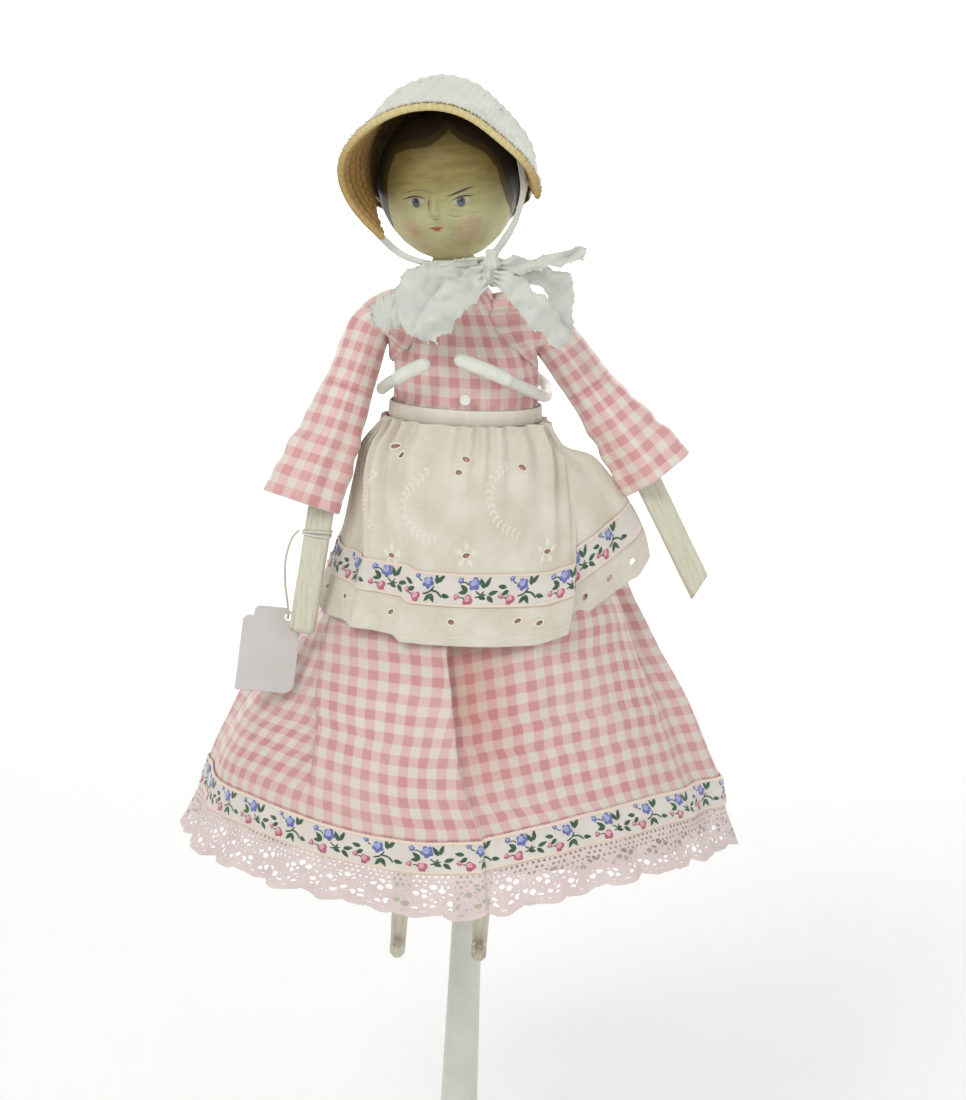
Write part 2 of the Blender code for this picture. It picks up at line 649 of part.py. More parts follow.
def bonnet(straw, white):
    """Straw crown and flared brim, the bound rim, and the gathered white cover over the crown."""
    centre = Vector((-16, -22, 379)) * MM

    def dome(name, radius, finish, front, thickness):
        """A shell round the back of the head, down to a slanting edge."""
        rings = []
        sides = 18
        for i in range(6):
            away = math.radians(12 + (90 - 12) * i / 5)
            y = radius * math.cos(away)
            r = radius * math.sin(away)
            around = [math.tau * k / sides for k in range(sides)]
            rings.append([(r * math.sin(turn), y, r * math.cos(turn)) for turn in around])
        rings.append([(x, front, z) for x, _, z in rings[-1]])
        mesh = bpy.data.meshes.new(name)
        bm = bmesh.new()
        grid = [[bm.verts.new(centre + Vector(p) * MM) for p in ring] for ring in rings]
        bm.faces.new(grid[0])
        for upper, lower in zip(grid, grid[1:]):
            for k in range(sides):
                bm.faces.new((upper[k], upper[k - 1], lower[k - 1], lower[k]))
        bmesh.ops.recalc_face_normals(bm, faces=bm.faces)
        bm.to_mesh(mesh)
        bm.free()
        made = keep(name, mesh, finish)
        solid = made.modifiers.new("Shell", "SOLIDIFY")
        solid.thickness = thickness * MM
        solid.offset = 1
        under = Matrix.Translation(Vector((-16, -27, 373.5)) * MM)
        under = under @ Matrix.Rotation(math.radians(-36), 4, "X")
        low, high = Vector((-60, -60, -60)) * MM, Vector((60, 60, 0)) * MM
        cut_name = f"{name}_under"
        join_to(made, cutter(cut_name, box_mesh(cut_name, low, high), None, under), "DIFFERENCE")

    dome("bonnet_crown", 25.3, straw, -5.0, 0.8)
    dome("bonnet_cover", 26.5, white, -4.6, 0.9)

    # The brim: arcs from the crown's edge out to the rim, lower on the doll's right.
    arcs = [
        (-27.6, (-16.0, 379.0), (25.4, 25.4), -4, 202, 0.0),
        (-36.0, (-16.6, 377.2), (26.6, 24.6), -3, 208, -1.0),
        (-45.0, (-17.6, 374.8), (28.6, 24.6), -1, 215, -2.5),
        (-53.0, (-18.6, 372.4), (30.6, 25.6), 1, 220, -4.0),
    ]
    rings = []
    steps = 16
    for y, (cx, cz), (rx, rz), first, last, crest in arcs:
        ring = []
        for i in range(steps):
            angle = math.radians(first + (last - first) * i / (steps - 1))
            forward = y + crest * max(0.0, math.sin(angle))
            ring.append(Vector((cx + rx * math.cos(angle), forward, cz + rz * math.sin(angle))) * MM)
        rings.append(ring)
    cloth("bonnet_brim", rings, straw, closed=False, thickness=0.9 * MM, outwards=0)
    rim = [p + Vector((0, -1.5, 0)) * MM for p in rings[-1]]
    wire("bonnet_edge", rim, 1.1 * MM, straw)


def bow(white):
    """The ties run from the brim to a knot at the left of the chin, with its loops and tails."""
    ties = {
        "right": [
            (-38.5, -47.5, 359.5),
            (-37.2, -47, 354),
            (-31, -49, 350.8),
            (-20, -51, 349.8),
            (-6.8, -54.6, 351.8),
        ],
        "left": [(11.2, -46, 371.0), (10.2, -47.2, 366), (7.8, -49.5, 361), (2.8, -53.2, 356.6)],
    }
    for side, points in ties.items():
        wire(f"bonnet_tie_{side}", smooth_route(vectors(points), 8), 1.0 * MM, white)
    pieces = {
        "bow_knot": ((-1.8, -55.2, 352.4), (3.6, 3.0, 3.4), 0),
        "bow_loop_left": ((14.6, -53.5, 354.6), (11.8, 2.6, 4.4), -3),
        "bow_tail_left": ((14.2, -52.5, 341.0), (9.6, 2.4, 8.6), -40),
        "bow_loop_right": ((-17.6, -53.0, 338.4), (11.2, 3.0, 7.0), -28),
        "bow_tail_right": ((-34.2, -43.5, 339.4), (4.6, 2.2, 4.4), 0),
    }
    for name, (place, half, roll) in pieces.items():
        matrix = Matrix.Translation(Vector(place) * MM) @ Matrix.Rotation(math.radians(roll), 4, "Y")
        keep(name, ball_mesh(name, Vector(half) * MM), white, None, matrix)


def dress(gingham, ribbon, lace, white, cream):
    levels = [row[0] for row in BODICE]
    bodice = cloth("bodice", [oval(BODICE, z, -0.9, 22) for z in levels], gingham)
    cloth("skirt", [oval(SKIRT, row[0]) for row in SKIRT], gingham, outwards=-1)
    top, foot = 178.2, 168.6
    band = [oval(SKIRT, z, RIBBON_OUTSET - 0.3) for z in (top, foot)]
    cloth("hem_ribbon", band, ribbon, thickness=0.7 * MM)
    edge = [oval(SKIRT, LACE_TOP, 0), oval(SKIRT, LACE_TOP, LACE_SPREAD)]
    for point in edge[1]:
        point.z = LACE_FOOT * MM
    cloth("hem_lace", edge, lace, outwards=-1)
    levels = [PETTICOAT_TOP, 240, 222, 205, 184, PETTICOAT_FOOT]
    cloth("petticoat", [oval(SKIRT, z, -PETTICOAT_INSET) for z in levels], cream, outwards=-1)
    for piece, low_z, high_z in (("skirt", 266, 305), ("petticoat", 256, 290)):
        name = f"{piece}_placket"
        low, high = Vector((-4.4, -16, low_z)) * MM, Vector((4.4, 26, high_z)) * MM
        join_to(bpy.data.objects[piece], cutter(name, box_mesh(name, low, high)), "DIFFERENCE")
    frill = [(9.4, 344.6), (12.2, 343.4), (11.6, 342.6), (7.2, 342.9), (7.0, 344.4)]
    ring = [(r * MM, z * MM) for r, z in frill]
    neck = Matrix.Translation((-12.7 * MM, DOLL_Y, 0.3 * MM))
    turned("neck_frill", ring, 16, white, closed=True, matrix=neck)
    button = rod_mesh("bodice_button", 1.5 * MM, 1.0 * MM, 12)
    outwards = Matrix.Translation(Vector((-7.6, -43.3, 308.2)) * MM)
    outwards = outwards @ Matrix.Rotation(math.radians(90), 4, "X")
    keep("bodice_button", button, white, None, outwards)
    return bodice


def apron(cream, ribbon):
    band = [(304.6, 0), (299.5, 0)]
    cloth("waistband", [oval(BODICE, z, 0.8 + extra) for z, extra in band], cream)
    levels = [APRON_TOP, 290, 272, 256, APRON_FOOT]
    panel = [oval(SKIRT, z, APRON_OUTSET - 0.9, 18, -57, 88) for z in levels]
    cloth("apron", panel, cream, closed=False, thickness=0.8 * MM)
    rings = [oval(SKIRT, z, APRON_OUTSET + 0.4, 18, -56, 87) for z in (257.0, 248.5)]
    cloth("apron_ribbon", rings, ribbon, closed=False, thickness=0.6 * MM)
    matrix = Matrix.Translation(Vector((-14, -2.5, 301)) * MM)
    keep("apron_bow", ball_mesh("apron_bow", Vector((8.5, 1.7, 3.6)) * MM), cream, None, matrix)


def tag(card, cord):
    """A blank card tag that leans on the skirt, hanging from the right wrist on its string."""
    low, high = Vector((-9.4, -0.3, -14)) * MM, Vector((9.4, 0.3, 14)) * MM
    place = Matrix.Translation(Vector((-67.4, -46.2, 225.0)) * MM)
    place = place @ Matrix.Rotation(math.radians(3), 4, "Y") @ Matrix.Rotation(math.radians(-28), 4, "X")
    made = keep("wrist_tag", box_mesh("wrist_tag", low, high), card, None, place)
    hole_place = place @ Matrix.Translation(Vector((5.2, 8, 11)) * MM)
    hole_place = hole_place @ Matrix.Rotation(math.radians(90), 4, "X")
    hole = cutter("tag_hole", rod_mesh("tag_hole", 1.3 * MM, 16 * MM, 14), None, hole_place)
    join_to(made, hole, "DIFFERENCE")
    route = [(-59.4, -38.0, 262.5), (-61.8, -36.4, 259), (-63.6, -35.4, 252), (-63.6, -35.2, 244)]
    route += [(-62.8, -35.4, 238.4), (-62.2, -36.8, 234.6), (-62.1, -39.0, 233.6), (-62.1, -40.9, 234.5)]
    wire("tag_string", smooth_route(vectors(route), 16), 0.4 * MM, cord)


def main():
    global parts, cutters
    clear_scene()
    parts = new_collection(NAME)
    cutters = new_collection(f"{NAME}_cutters")

    paint = material("white_paint", (0.72, 0.73, 0.70), 0.35)
    metal = material("bright_steel", (0.62, 0.62, 0.60), 0.3, 1.0)
    felt = material("felt", (0.16, 0.16, 0.15), 0.95)
    rubber = material("soft_vinyl", (0.80, 0.81, 0.78), 0.4)
    wood = material("painted_wood", (0.58, 0.55, 0.40), 0.45)
    shoe = material("shoe_paint", (0.30, 0.12, 0.07), 0.5)
    straw = material("straw", (0.50, 0.38, 0.18), 0.7)
    white = material("white_ribbon", (0.78, 0.79, 0.75), 0.5)
    gingham = material("gingham", (0.80, 0.50, 0.52), 0.85)
    ribbon = material("floral_ribbon", (0.55, 0.58, 0.52), 0.55)
    lace = material("pink_lace", (0.82, 0.62, 0.64), 0.85)
    cream = material("eyelet_cotton", (0.83, 0.78, 0.68), 0.9)
    card = material("card", (0.72, 0.70, 0.69), 0.8)
    cord = material("white_thread", (0.80, 0.80, 0.78), 0.8)

    stand(paint, metal, felt)
    thumb_screw(metal)
    holder(metal, paint, rubber)
    lean = empty("trunk_lean", Matrix.Translation(WAIST) @ Matrix.Rotation(LEAN, 4, "Y"))
    torso = trunk(wood, lean)
    nose(wood, torso)
    bodice = dress(gingham, ribbon, lace, white, cream)
    for side in ARMS:
        arm(side, wood, torso, bodice)
        sleeve(side, gingham)
        leg(side, wood, shoe, torso)
    bonnet(straw, white)
    bow(white)
    apron(cream, ribbon)
    tag(card, cord)


main()
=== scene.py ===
"""The look of a jointed peg-wooden doll in bonnet, gingham dress and eyelet apron, on a post stand.

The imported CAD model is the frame.  Lengths in this script are millimetres unless a name says
otherwise; meshes are scaled to metres as they are made.  +Z is up, the doll faces -Y, and "right"
and "left" are the doll's own.
"""

import json
import math

import bmesh
import bpy
import numpy as np
from mathutils import Matrix, Vector, noise

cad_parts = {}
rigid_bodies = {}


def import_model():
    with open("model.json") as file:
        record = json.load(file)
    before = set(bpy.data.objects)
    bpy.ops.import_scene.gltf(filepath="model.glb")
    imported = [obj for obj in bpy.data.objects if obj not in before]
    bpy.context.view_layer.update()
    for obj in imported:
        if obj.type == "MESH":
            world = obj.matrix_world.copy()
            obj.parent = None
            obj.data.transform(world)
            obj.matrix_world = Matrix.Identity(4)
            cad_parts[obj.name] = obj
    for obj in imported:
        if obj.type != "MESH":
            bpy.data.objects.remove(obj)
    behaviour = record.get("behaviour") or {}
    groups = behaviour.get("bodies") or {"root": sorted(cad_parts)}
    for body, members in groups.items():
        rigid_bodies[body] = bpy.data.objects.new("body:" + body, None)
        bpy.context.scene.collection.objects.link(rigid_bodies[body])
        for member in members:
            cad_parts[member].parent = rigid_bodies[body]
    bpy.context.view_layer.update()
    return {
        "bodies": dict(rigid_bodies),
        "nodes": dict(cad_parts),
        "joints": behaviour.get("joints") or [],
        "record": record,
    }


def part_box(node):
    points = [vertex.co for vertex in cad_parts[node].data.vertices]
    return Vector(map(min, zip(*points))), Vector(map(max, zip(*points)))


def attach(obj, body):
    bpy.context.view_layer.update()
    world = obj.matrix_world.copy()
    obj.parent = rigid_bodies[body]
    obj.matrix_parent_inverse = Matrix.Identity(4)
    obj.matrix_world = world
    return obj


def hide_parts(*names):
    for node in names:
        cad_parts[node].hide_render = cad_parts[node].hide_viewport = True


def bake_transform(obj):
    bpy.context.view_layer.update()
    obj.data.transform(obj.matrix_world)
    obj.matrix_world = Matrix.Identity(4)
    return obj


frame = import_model()
nodes = frame["nodes"]

MM = 0.001
CHECK = 6.35
DOLL_Y = -25.0
WAIST = np.array([-8.5, DOLL_Y, 304.0])
LEAN = math.radians(-6)
DEGREE_MM = 0.3875
HEAD_CENTRE, HEAD_HALF, HEAD_RADIUS = 69.5, 23.5, 22.2


# ---------------------------------------------------------------- numbers and curves


def hashed(*seeds):
    """A repeatable number from 0 to 1 for some whole numbers."""
    value = 12.9898
    for place, seed in enumerate(seeds):
        value += math.sin((seed + 1.37) * (place + 1) * 78.233) * 43758.5453
    return value % 1.0


def step01(x, low, high):
    """0 below low, 1 above high, and smooth between them."""
    t = np.clip((np.asarray(x, float) - low) / (high - low), 0, 1)
    return t * t * (3 - 2 * t)


def bell(x, centre, width):
    return np.exp(-(((np.asarray(x, float) - centre) / width) ** 2))


def spline(points, count):
    """Evenly spaced points on a smooth curve through the given ones."""
    p = np.asarray(points, float)
    ends = np.vstack([2 * p[0] - p[1], p, 2 * p[-1] - p[-2]])
    fine = []
    for i in range(len(p) - 1):
        a, b, c, d = ends[i : i + 4]
        f = np.linspace(0, 1, 24, endpoint=False)[:, None]
        bend, twist = 2 * a - 5 * b + 4 * c - d, 3 * b - a - 3 * c + d
        fine.append(0.5 * (2 * b + (c - a) * f + bend * f**2 + twist * f**3))
    fine = np.vstack([*fine, p[-1:]])
    run = run_of(fine)
    at = np.linspace(0, run[-1], count)
    return np.stack([np.interp(at, run, fine[:, k]) for k in range(p.shape[1])], axis=1)


def run_of(points):
    """The length run so far at each point of a line."""
    return np.concatenate([[0], np.cumsum(np.linalg.norm(np.diff(points, axis=0), axis=1))])


def length_of(points):
    return float(np.linalg.norm(np.diff(points, axis=0), axis=1).sum())


def unit(vectors):
    """Each row scaled to length 1."""
    return vectors / np.linalg.norm(vectors, axis=-1, keepdims=True)


def smoothed(values, width):
    """Values blurred along axis 0 by a bell of that many samples, with the ends held."""
    reach = max(1, int(3 * width))
    kernel = np.exp(-0.5 * (np.arange(-reach, reach + 1) / width) ** 2)
    kernel /= kernel.sum()
    v = np.asarray(values, float)
    padded = np.concatenate([np.repeat(v[:1], reach, 0), v, np.repeat(v[-1:], reach, 0)])
    if v.ndim == 1:
        return np.convolve(padded, kernel, "valid")
    return np.stack([np.convolve(padded[:, k], kernel, "valid") for k in range(v.shape[1])], axis=1)


def rotation(angle, axis):
    return np.array(Matrix.Rotation(angle, 3, axis))


def leaning(points):
    """Points in the leaning trunk's own frame, put in the object's frame."""
    return WAIST + np.asarray(points, float) @ rotation(LEAN, "Y").T


def moved(points, matrix):
    return np.asarray(points, float) @ np.array(matrix.to_3x3()).T + np.array(matrix.translation)


def noises(fine, *rows):
    """Smooth noise at every point that fine gives for an entry of each list, one axis for each list."""
    if len(rows) == 1:
        return np.array([noise.noise(fine(a)) for a in rows[0]])
    return np.array([noises(lambda *rest: fine(a, *rest), *rows[1:]) for a in rows[0]])


# ---------------------------------------------------------------- meshes


def mesh_object(name, verts, faces, material, uv=None):
    """One mesh object from points in mm.  uv is one pair per corner or per point, in mm."""
    mesh = bpy.data.meshes.new(name)
    mesh.from_pydata((np.asarray(verts, float) * MM).tolist(), [], [list(map(int, f)) for f in faces])
    mesh.polygons.foreach_set("use_smooth", [True] * len(mesh.polygons))
    mesh.materials.append(material)
    if uv is not None:
        layer = mesh.uv_layers.new(name="cloth")
        pairs = np.asarray(uv, float)
        if len(pairs) == len(mesh.vertices) != len(mesh.loops):
            index = np.zeros(len(mesh.loops), np.int32)
            mesh.loops.foreach_get("vertex_index", index)
            pairs = pairs[index]
        layer.data.foreach_set("uv", pairs.astype(np.float32).ravel())
    made = bpy.data.objects.new(name, mesh)
    bpy.context.scene.collection.objects.link(made)
    return made


def store(mesh, name, values, kind="FLOAT"):
    """Keeps one value or vector per point on the mesh, for its material to read."""
    attribute = mesh.attributes.new(name, kind, "POINT")
    key = "vector" if kind == "FLOAT_VECTOR" else "value"
    attribute.data.foreach_set(key, np.asarray(values, np.float32).ravel())


def grid_faces(rows, columns, wrap=False):
    """Quads of a grid of points numbered row by row."""
    last = columns if wrap else columns - 1
    r, c = np.meshgrid(np.arange(rows - 1), np.arange(last), indexing="ij")
    d = (c + 1) % columns
    quads = np.stack([r * columns + c, (r + 1) * columns + c, (r + 1) * columns + d, r * columns + d], -1)
    return quads.reshape(-1, 4)


def uv_grid(across, down):
    """Flat places for a sheet of points, from its places along a row and down a column."""
    return np.stack(np.broadcast_arrays(np.asarray(across)[None, :], np.asarray(down)[:, None]), -1)


def grid_object(name, points, material, uv=None, wrap=False, flip=False, caps=False):
    """A sheet of points (rows, columns, 3).  uv has one more column than a wrapped sheet."""
    rows, columns = points.shape[:2]
    faces = grid_faces(rows, columns, wrap)
    corner_uv = None
    if uv is not None:
        # A sheet that wraps still has an open strip of flat places, one column longer.
        corner_uv = uv.reshape(-1, 2)[grid_faces(rows, columns + 1 if wrap else columns)]
    if flip:
        faces = faces[:, ::-1]
        corner_uv = None if corner_uv is None else corner_uv[:, ::-1]
    faces = faces.tolist()
    if caps:
        faces += [list(range(columns)), list(range((rows - 1) * columns, rows * columns))[::-1]]
        if flip:
            faces[-2:] = [f[::-1] for f in faces[-2:]]
        if corner_uv is not None:
            corner_uv = np.vstack([corner_uv.reshape(-1, 2), np.zeros((2 * columns, 2))])
    flat = None if corner_uv is None else corner_uv.reshape(-1, 2)
    return mesh_object(name, points.reshape(-1, 3), faces, material, flat)


def cut_sheet(name, u, v, keep, place, material):
    """A sheet over the grid u by v, left where keep(u, v) is above zero, with clean cut edges."""
    uu, vv = np.meshgrid(u, v, indexing="ij")
    field = keep(uu, vv)
    field = np.where(np.abs(field) < 1e-4, 1e-4, field)
    spots, index, faces = [], {}, []

    def corner(i, j):
        key = (i, j)
        if key not in index:
            index[key] = len(spots)
            spots.append((u[i], v[j]))
        return index[key]

    def crossing(i, j, k, l):
        key = (i, j, k, l) if (i, j) < (k, l) else (k, l, i, j)
        if key not in index:
            a, b = field[key[0], key[1]], field[key[2], key[3]]
            f = min(max(a / (a - b), 0.04), 0.96)
            index[key] = len(spots)
            spots.append((u[key[0]] + (u[key[2]] - u[key[0]]) * f, v[key[1]] + (v[key[3]] - v[key[1]]) * f))
        return index[key]

    inside = field > 0
    count = inside[:-1, :-1].astype(int) + inside[1:, :-1] + inside[1:, 1:] + inside[:-1, 1:]
    for i, j in zip(*np.nonzero(count)):
        ring = [(i, j), (i + 1, j), (i + 1, j + 1), (i, j + 1)]
        if count[i, j] == 4:
            faces.append([corner(*p) for p in ring])
            continue
        face = []
        for p, q in zip(ring, ring[1:] + ring[:1]):
            if inside[p]:
                face.append(corner(*p))
            if inside[p] != inside[q]:
                face.append(crossing(*p, *q))
        if len(face) > 2:
            faces.append(face)
    flat = np.array(spots)
    return mesh_object(name, place(flat[:, 0], flat[:, 1]), faces, material, flat)


def settle(obj):
    """Applies an object's modifiers."""
    graph = bpy.context.evaluated_depsgraph_get()
    mesh = bpy.data.meshes.new_from_object(obj.evaluated_get(graph), depsgraph=graph)
    obj.modifiers.clear()
    obj.data = mesh
    return obj


def thicken(obj, thickness, offset=0.0):
    """Gives a sheet its thickness in mm: to both sides of it, or inwards when the offset is -1."""
    solid = obj.modifiers.new("Thickness", "SOLIDIFY")
    solid.thickness = thickness * MM
    solid.offset = offset
    return settle(obj)


def tube(name, points, radius, material, sides, round_ends=True):
    """A round tube along points in mm, with domed or flat ends.  radius may change along it."""
    p = np.asarray(points, float)
    radii = np.broadcast_to(np.asarray(radius, float), (len(p),)).copy()
    tangent = np.gradient(p, axis=0)
    tangent /= np.linalg.norm(tangent, axis=1)[:, None]
    normal = np.cross(tangent[0], [0.3, 0.2, 0.9])
    frames = []
    for t in tangent:
        normal = normal - t * (normal @ t)
        normal = normal / np.linalg.norm(normal)
        frames.append((normal, np.cross(t, normal)))
    rings = list(zip(p, radii, frames))
    if round_ends:
        domes, rises = [], np.radians([80, 60, 40, 20])
        for end, way in ((0, -1), (-1, 1)):
            c, t, r, f = p[end], tangent[end] * way, radii[end], frames[end]
            domes.append([(c + t * r * math.sin(a), r * math.cos(a), f) for a in rises])
        rings = domes[0] + rings + domes[1][::-1]
    turn = np.linspace(0, math.tau, sides, endpoint=False)
    circle_at = np.stack([np.cos(turn), np.sin(turn)], -1)
    grid = np.array([c + r * (circle_at @ np.array(f)) for c, r, f in rings])
    around = np.linspace(0, 1, sides + 1) * math.tau * radii.max()
    return grid_object(name, grid, material, uv_grid(around, run_of(grid.mean(1))), wrap=True, caps=True)


def turned(name, profile, material, steps, matrix=None):
    """A turned piece from (radius, height) points, down its outer side; closed at the axis."""
    profile = np.asarray(profile, float)
    turn = np.linspace(0, math.tau, steps, endpoint=False)
    x, y = (np.outer(profile[:, 0], wave(turn)) for wave in (np.cos, np.sin))
    grid = np.stack([x, y, np.repeat(profile[:, 1:], steps, 1)], -1)
    around = np.linspace(0, 1, steps + 1) * math.tau * profile[:, 0].max()
    if matrix is not None:
        grid = moved(grid, matrix)
    made = grid_object(name, grid, material, uv_grid(around, run_of(profile)), wrap=True, flip=True)
    clean = bmesh.new()
    clean.from_mesh(made.data)
    bmesh.ops.remove_doubles(clean, verts=clean.verts, dist=1e-7)
    bmesh.ops.dissolve_degenerate(clean, edges=clean.edges, dist=1e-7)
    bmesh.ops.recalc_face_normals(clean, faces=clean.faces)
    clean.to_mesh(made.data)
    clean.free()
    return made


def rounded(points, radius, steps=4):
    """A profile's corners cut to short arcs."""
    out = [points[0]]
    for before, here, after in zip(points, points[1:], points[2:]):
        b, h, a = (np.asarray(q, float) for q in (before, here, after))
        r = min(radius, 0.45 * np.linalg.norm(b - h), 0.45 * np.linalg.norm(a - h))
        start = h + (b - h) / np.linalg.norm(b - h) * r
        end = h + (a - h) / np.linalg.norm(a - h) * r
        for f in np.linspace(0, 1, steps):
            out.append(tuple((1 - f) ** 2 * start + 2 * f * (1 - f) * h + f * f * end))
    return [*out, points[-1]]


def put(obj, body, slot, *replaced):
    """Hands a finished piece to the frame."""
    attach(obj, body)
    if replaced:
        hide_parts(*replaced)
    return obj


# ---------------------------------------------------------------- the stage


def camera_and_stage():
    camera = bpy.data.cameras.new("camera")
    camera.sensor_fit = "AUTO"
    camera.sensor_width = 36.0
    camera.lens = 66.9
    camera.clip_start, camera.clip_end = 0.05, 30.0
    pitch, roll = math.radians(13.9), math.radians(2.5)
    right, up = Vector((1, 0, 0)), Vector((0, math.sin(pitch), math.cos(pitch)))
    back = right.cross(up)
    turned_right = right * math.cos(roll) + up * math.sin(roll)
    turned_up = up * math.cos(roll) - right * math.sin(roll)
    eye = bpy.data.objects.new("camera", camera)
    place = Matrix((turned_right, turned_up, back)).transposed().to_4x4()
    place.translation = Vector((0.0, -0.675, 0.4164))
    eye.matrix_world = place
    bpy.context.scene.collection.objects.link(eye)
    bpy.context.scene.camera = eye

    paper = Paint("pale_floor", 0.9)
    shade = paper.noise(paper.coordinates("Object"), 3.0)
    paper.base(paper.ramp(shade, (0.3, (0.93, 0.93, 0.92)), (0.7, (0.95, 0.95, 0.94))))
    far, back_wall = 4000, 3200
    level = [(-far, -far, 0), (far, -far, 0), (far, far, 0), (-far, far, 0)]
    upright = [(-far, back_wall, 0), (far, back_wall, 0), (far, back_wall, far), (-far, back_wall, far)]
    floor = mesh_object("floor", level, [(0, 1, 2, 3)], paper.made)
    wall = mesh_object("backdrop", upright, [(0, 1, 2, 3)], paper.made)

    def area(name, place, size, power, target=(0, -0.03, 0.27), colour=(1, 1, 1)):
        data = bpy.data.lights.new(name, "AREA")
        data.shape = "DISK"
        data.size = size
        data.energy = power
        data.color = colour
        made = bpy.data.objects.new(name, data)
        made.location = place
        made.rotation_euler = (Vector(place) - Vector(target)).to_track_quat("Z", "Y").to_euler()
        bpy.context.scene.collection.objects.link(made)

    area("key_light", (-0.75, -1.1, 1.35), 0.7, 9.0, colour=(1.0, 0.985, 0.96))
    area("fill_light", (1.2, -1.0, 0.7), 1.0, 3.0, colour=(0.97, 0.99, 1.0))
    area("back_light", (0.3, 1.3, 1.1), 1.0, 4.0)
    for side in (-1, 1):
        area(f"backdrop_light_{side + 2}", (side * 1.5, 1.5, 0.7), 1.2, 46.0, target=(side * 0.3, 3.2, 0.9))
    world = bpy.data.worlds.new("studio")
    world.use_nodes = True
    world.node_tree.nodes["Background"].inputs["Color"].default_value = (1, 1, 1, 1)
    world.node_tree.nodes["Background"].inputs["Strength"].default_value = 0.66
    bpy.context.scene.world = world
    bpy.context.scene.view_settings.view_transform = "Standard"


# ---------------------------------------------------------------- materials


def linear(red, green, blue):
    """A screen colour, 0 to 255, as the linear values that Blender takes."""
    shares = (c / 255 for c in (red, green, blue))
    return tuple(c / 12.92 if c <= 0.04 else ((c + 0.055) / 1.055) ** 2.4 for c in shares)


class Paint:
    """A node material, built a socket at a time."""

    def __init__(self, name, roughness=0.6, **inputs):
        self.made = bpy.data.materials.new(name)
        self.made.use_nodes = True
        self.tree = self.made.node_tree
        self.shader = self.tree.nodes["Principled BSDF"]
        self.set(Roughness=roughness, **inputs)

    def feed(self, socket, value):
        if isinstance(value, bpy.types.NodeSocket):
            self.tree.links.new(value, socket)
        elif isinstance(value, tuple) and len(value) == 3 and socket.type == "RGBA":
            socket.default_value = (*value, 1.0)
        else:
            socket.default_value = value

    def set(self, **inputs):
        for name, value in inputs.items():
            self.feed(self.shader.inputs[name.replace("_", " ")], value)

    def base(self, colour):
        self.feed(self.shader.inputs["Base Color"], colour)

    def node(self, kind, inputs, out=0, **settings):
        made = self.tree.nodes.new(kind)
        for key, value in settings.items():
            setattr(made, key, value)
        for key, value in inputs.items():
            self.feed(made.inputs[key], value)
        return made.outputs[out]

    def maths(self, operation, a, b=0.0, c=0.0):
        return self.node("ShaderNodeMath", {0: a, 1: b, 2: c}, operation=operation)

    def times(self, a, b):
        return self.maths("MULTIPLY", a, b)

    def wave(self, value):
        """A sine, from 0 to 1."""
        return self.maths("MULTIPLY_ADD", self.maths("SINE", value), 0.5, 0.5)

    def coordinates(self, output="UV"):
        return self.node("ShaderNodeTexCoord", {}, out=output)

    def stored(self, name, out="Fac"):
        return self.node("ShaderNodeAttribute", {}, out=out, attribute_name=name)

    def scaled(self, vector, scale):
        return self.node("ShaderNodeVectorMath", {0: vector, 1: scale}, operation="MULTIPLY")

    def parts(self, vector):
        made = self.tree.nodes.new("ShaderNodeSeparateXYZ")
        self.feed(made.inputs[0], vector)
        return made.outputs

    def noise(self, vector, scale, detail=3.0, roughness=0.55):
        inputs = {"Vector": vector, "Scale": scale, "Detail": detail, "Roughness": roughness}
        return self.node("ShaderNodeTexNoise", inputs)

    def ramp(self, value, *stops):
        made = self.tree.nodes.new("ShaderNodeValToRGB")
        while len(made.color_ramp.elements) < len(stops):
            made.color_ramp.elements.new(0.5)
        for element, (place, colour) in zip(made.color_ramp.elements, stops):
            element.position = place
            element.color = (*colour, 1) if isinstance(colour, tuple) else (colour, colour, colour, 1)
        self.feed(made.inputs[0], value)
        return made.outputs[0]

    def tones(self, value, first, second, low=0.3, high=0.7):
        """A ramp between two screen colours."""
        return self.ramp(value, (low, linear(*first)), (high, linear(*second)))

    def between(self, value, low, high):
        """0 below low and 1 above high."""
        return self.node("ShaderNodeMapRange", {"Value": value, "From Min": low, "From Max": high})

    def mix(self, share, a, b, blend="MIX"):
        made = self.tree.nodes.new("ShaderNodeMix")
        made.data_type = "RGBA"
        made.blend_type = blend
        self.feed(made.inputs[0], share)
        self.feed(made.inputs[6], a)
        self.feed(made.inputs[7], b)
        return made.outputs[2]

    def relief(self, height, depth, strength=1.0):
        """Bump of a height of 0 to 1 over a depth in mm."""
        inputs = {"Height": height, "Strength": strength, "Distance": depth * MM}
        self.set(Normal=self.node("ShaderNodeBump", inputs))

    def weave(self, vector, pitch):
        """The height of a plain weave of that thread pitch, with u and v in mm."""
        u, v, _ = self.parts(vector)
        a, b = (self.maths("SINE", self.times(c, math.pi / pitch)) for c in (u, v))
        return self.maths("MULTIPLY_ADD", self.times(a, b), 0.5, 0.5)

    def stripe(self, value, period):
        """1 on half of each period and 0 on the other half, with soft edges."""
        soft = 0.035
        turn = self.maths("PINGPONG", self.maths("DIVIDE", value, period), 0.5)
        return self.between(turn, 0.25 - soft, 0.25 + soft)


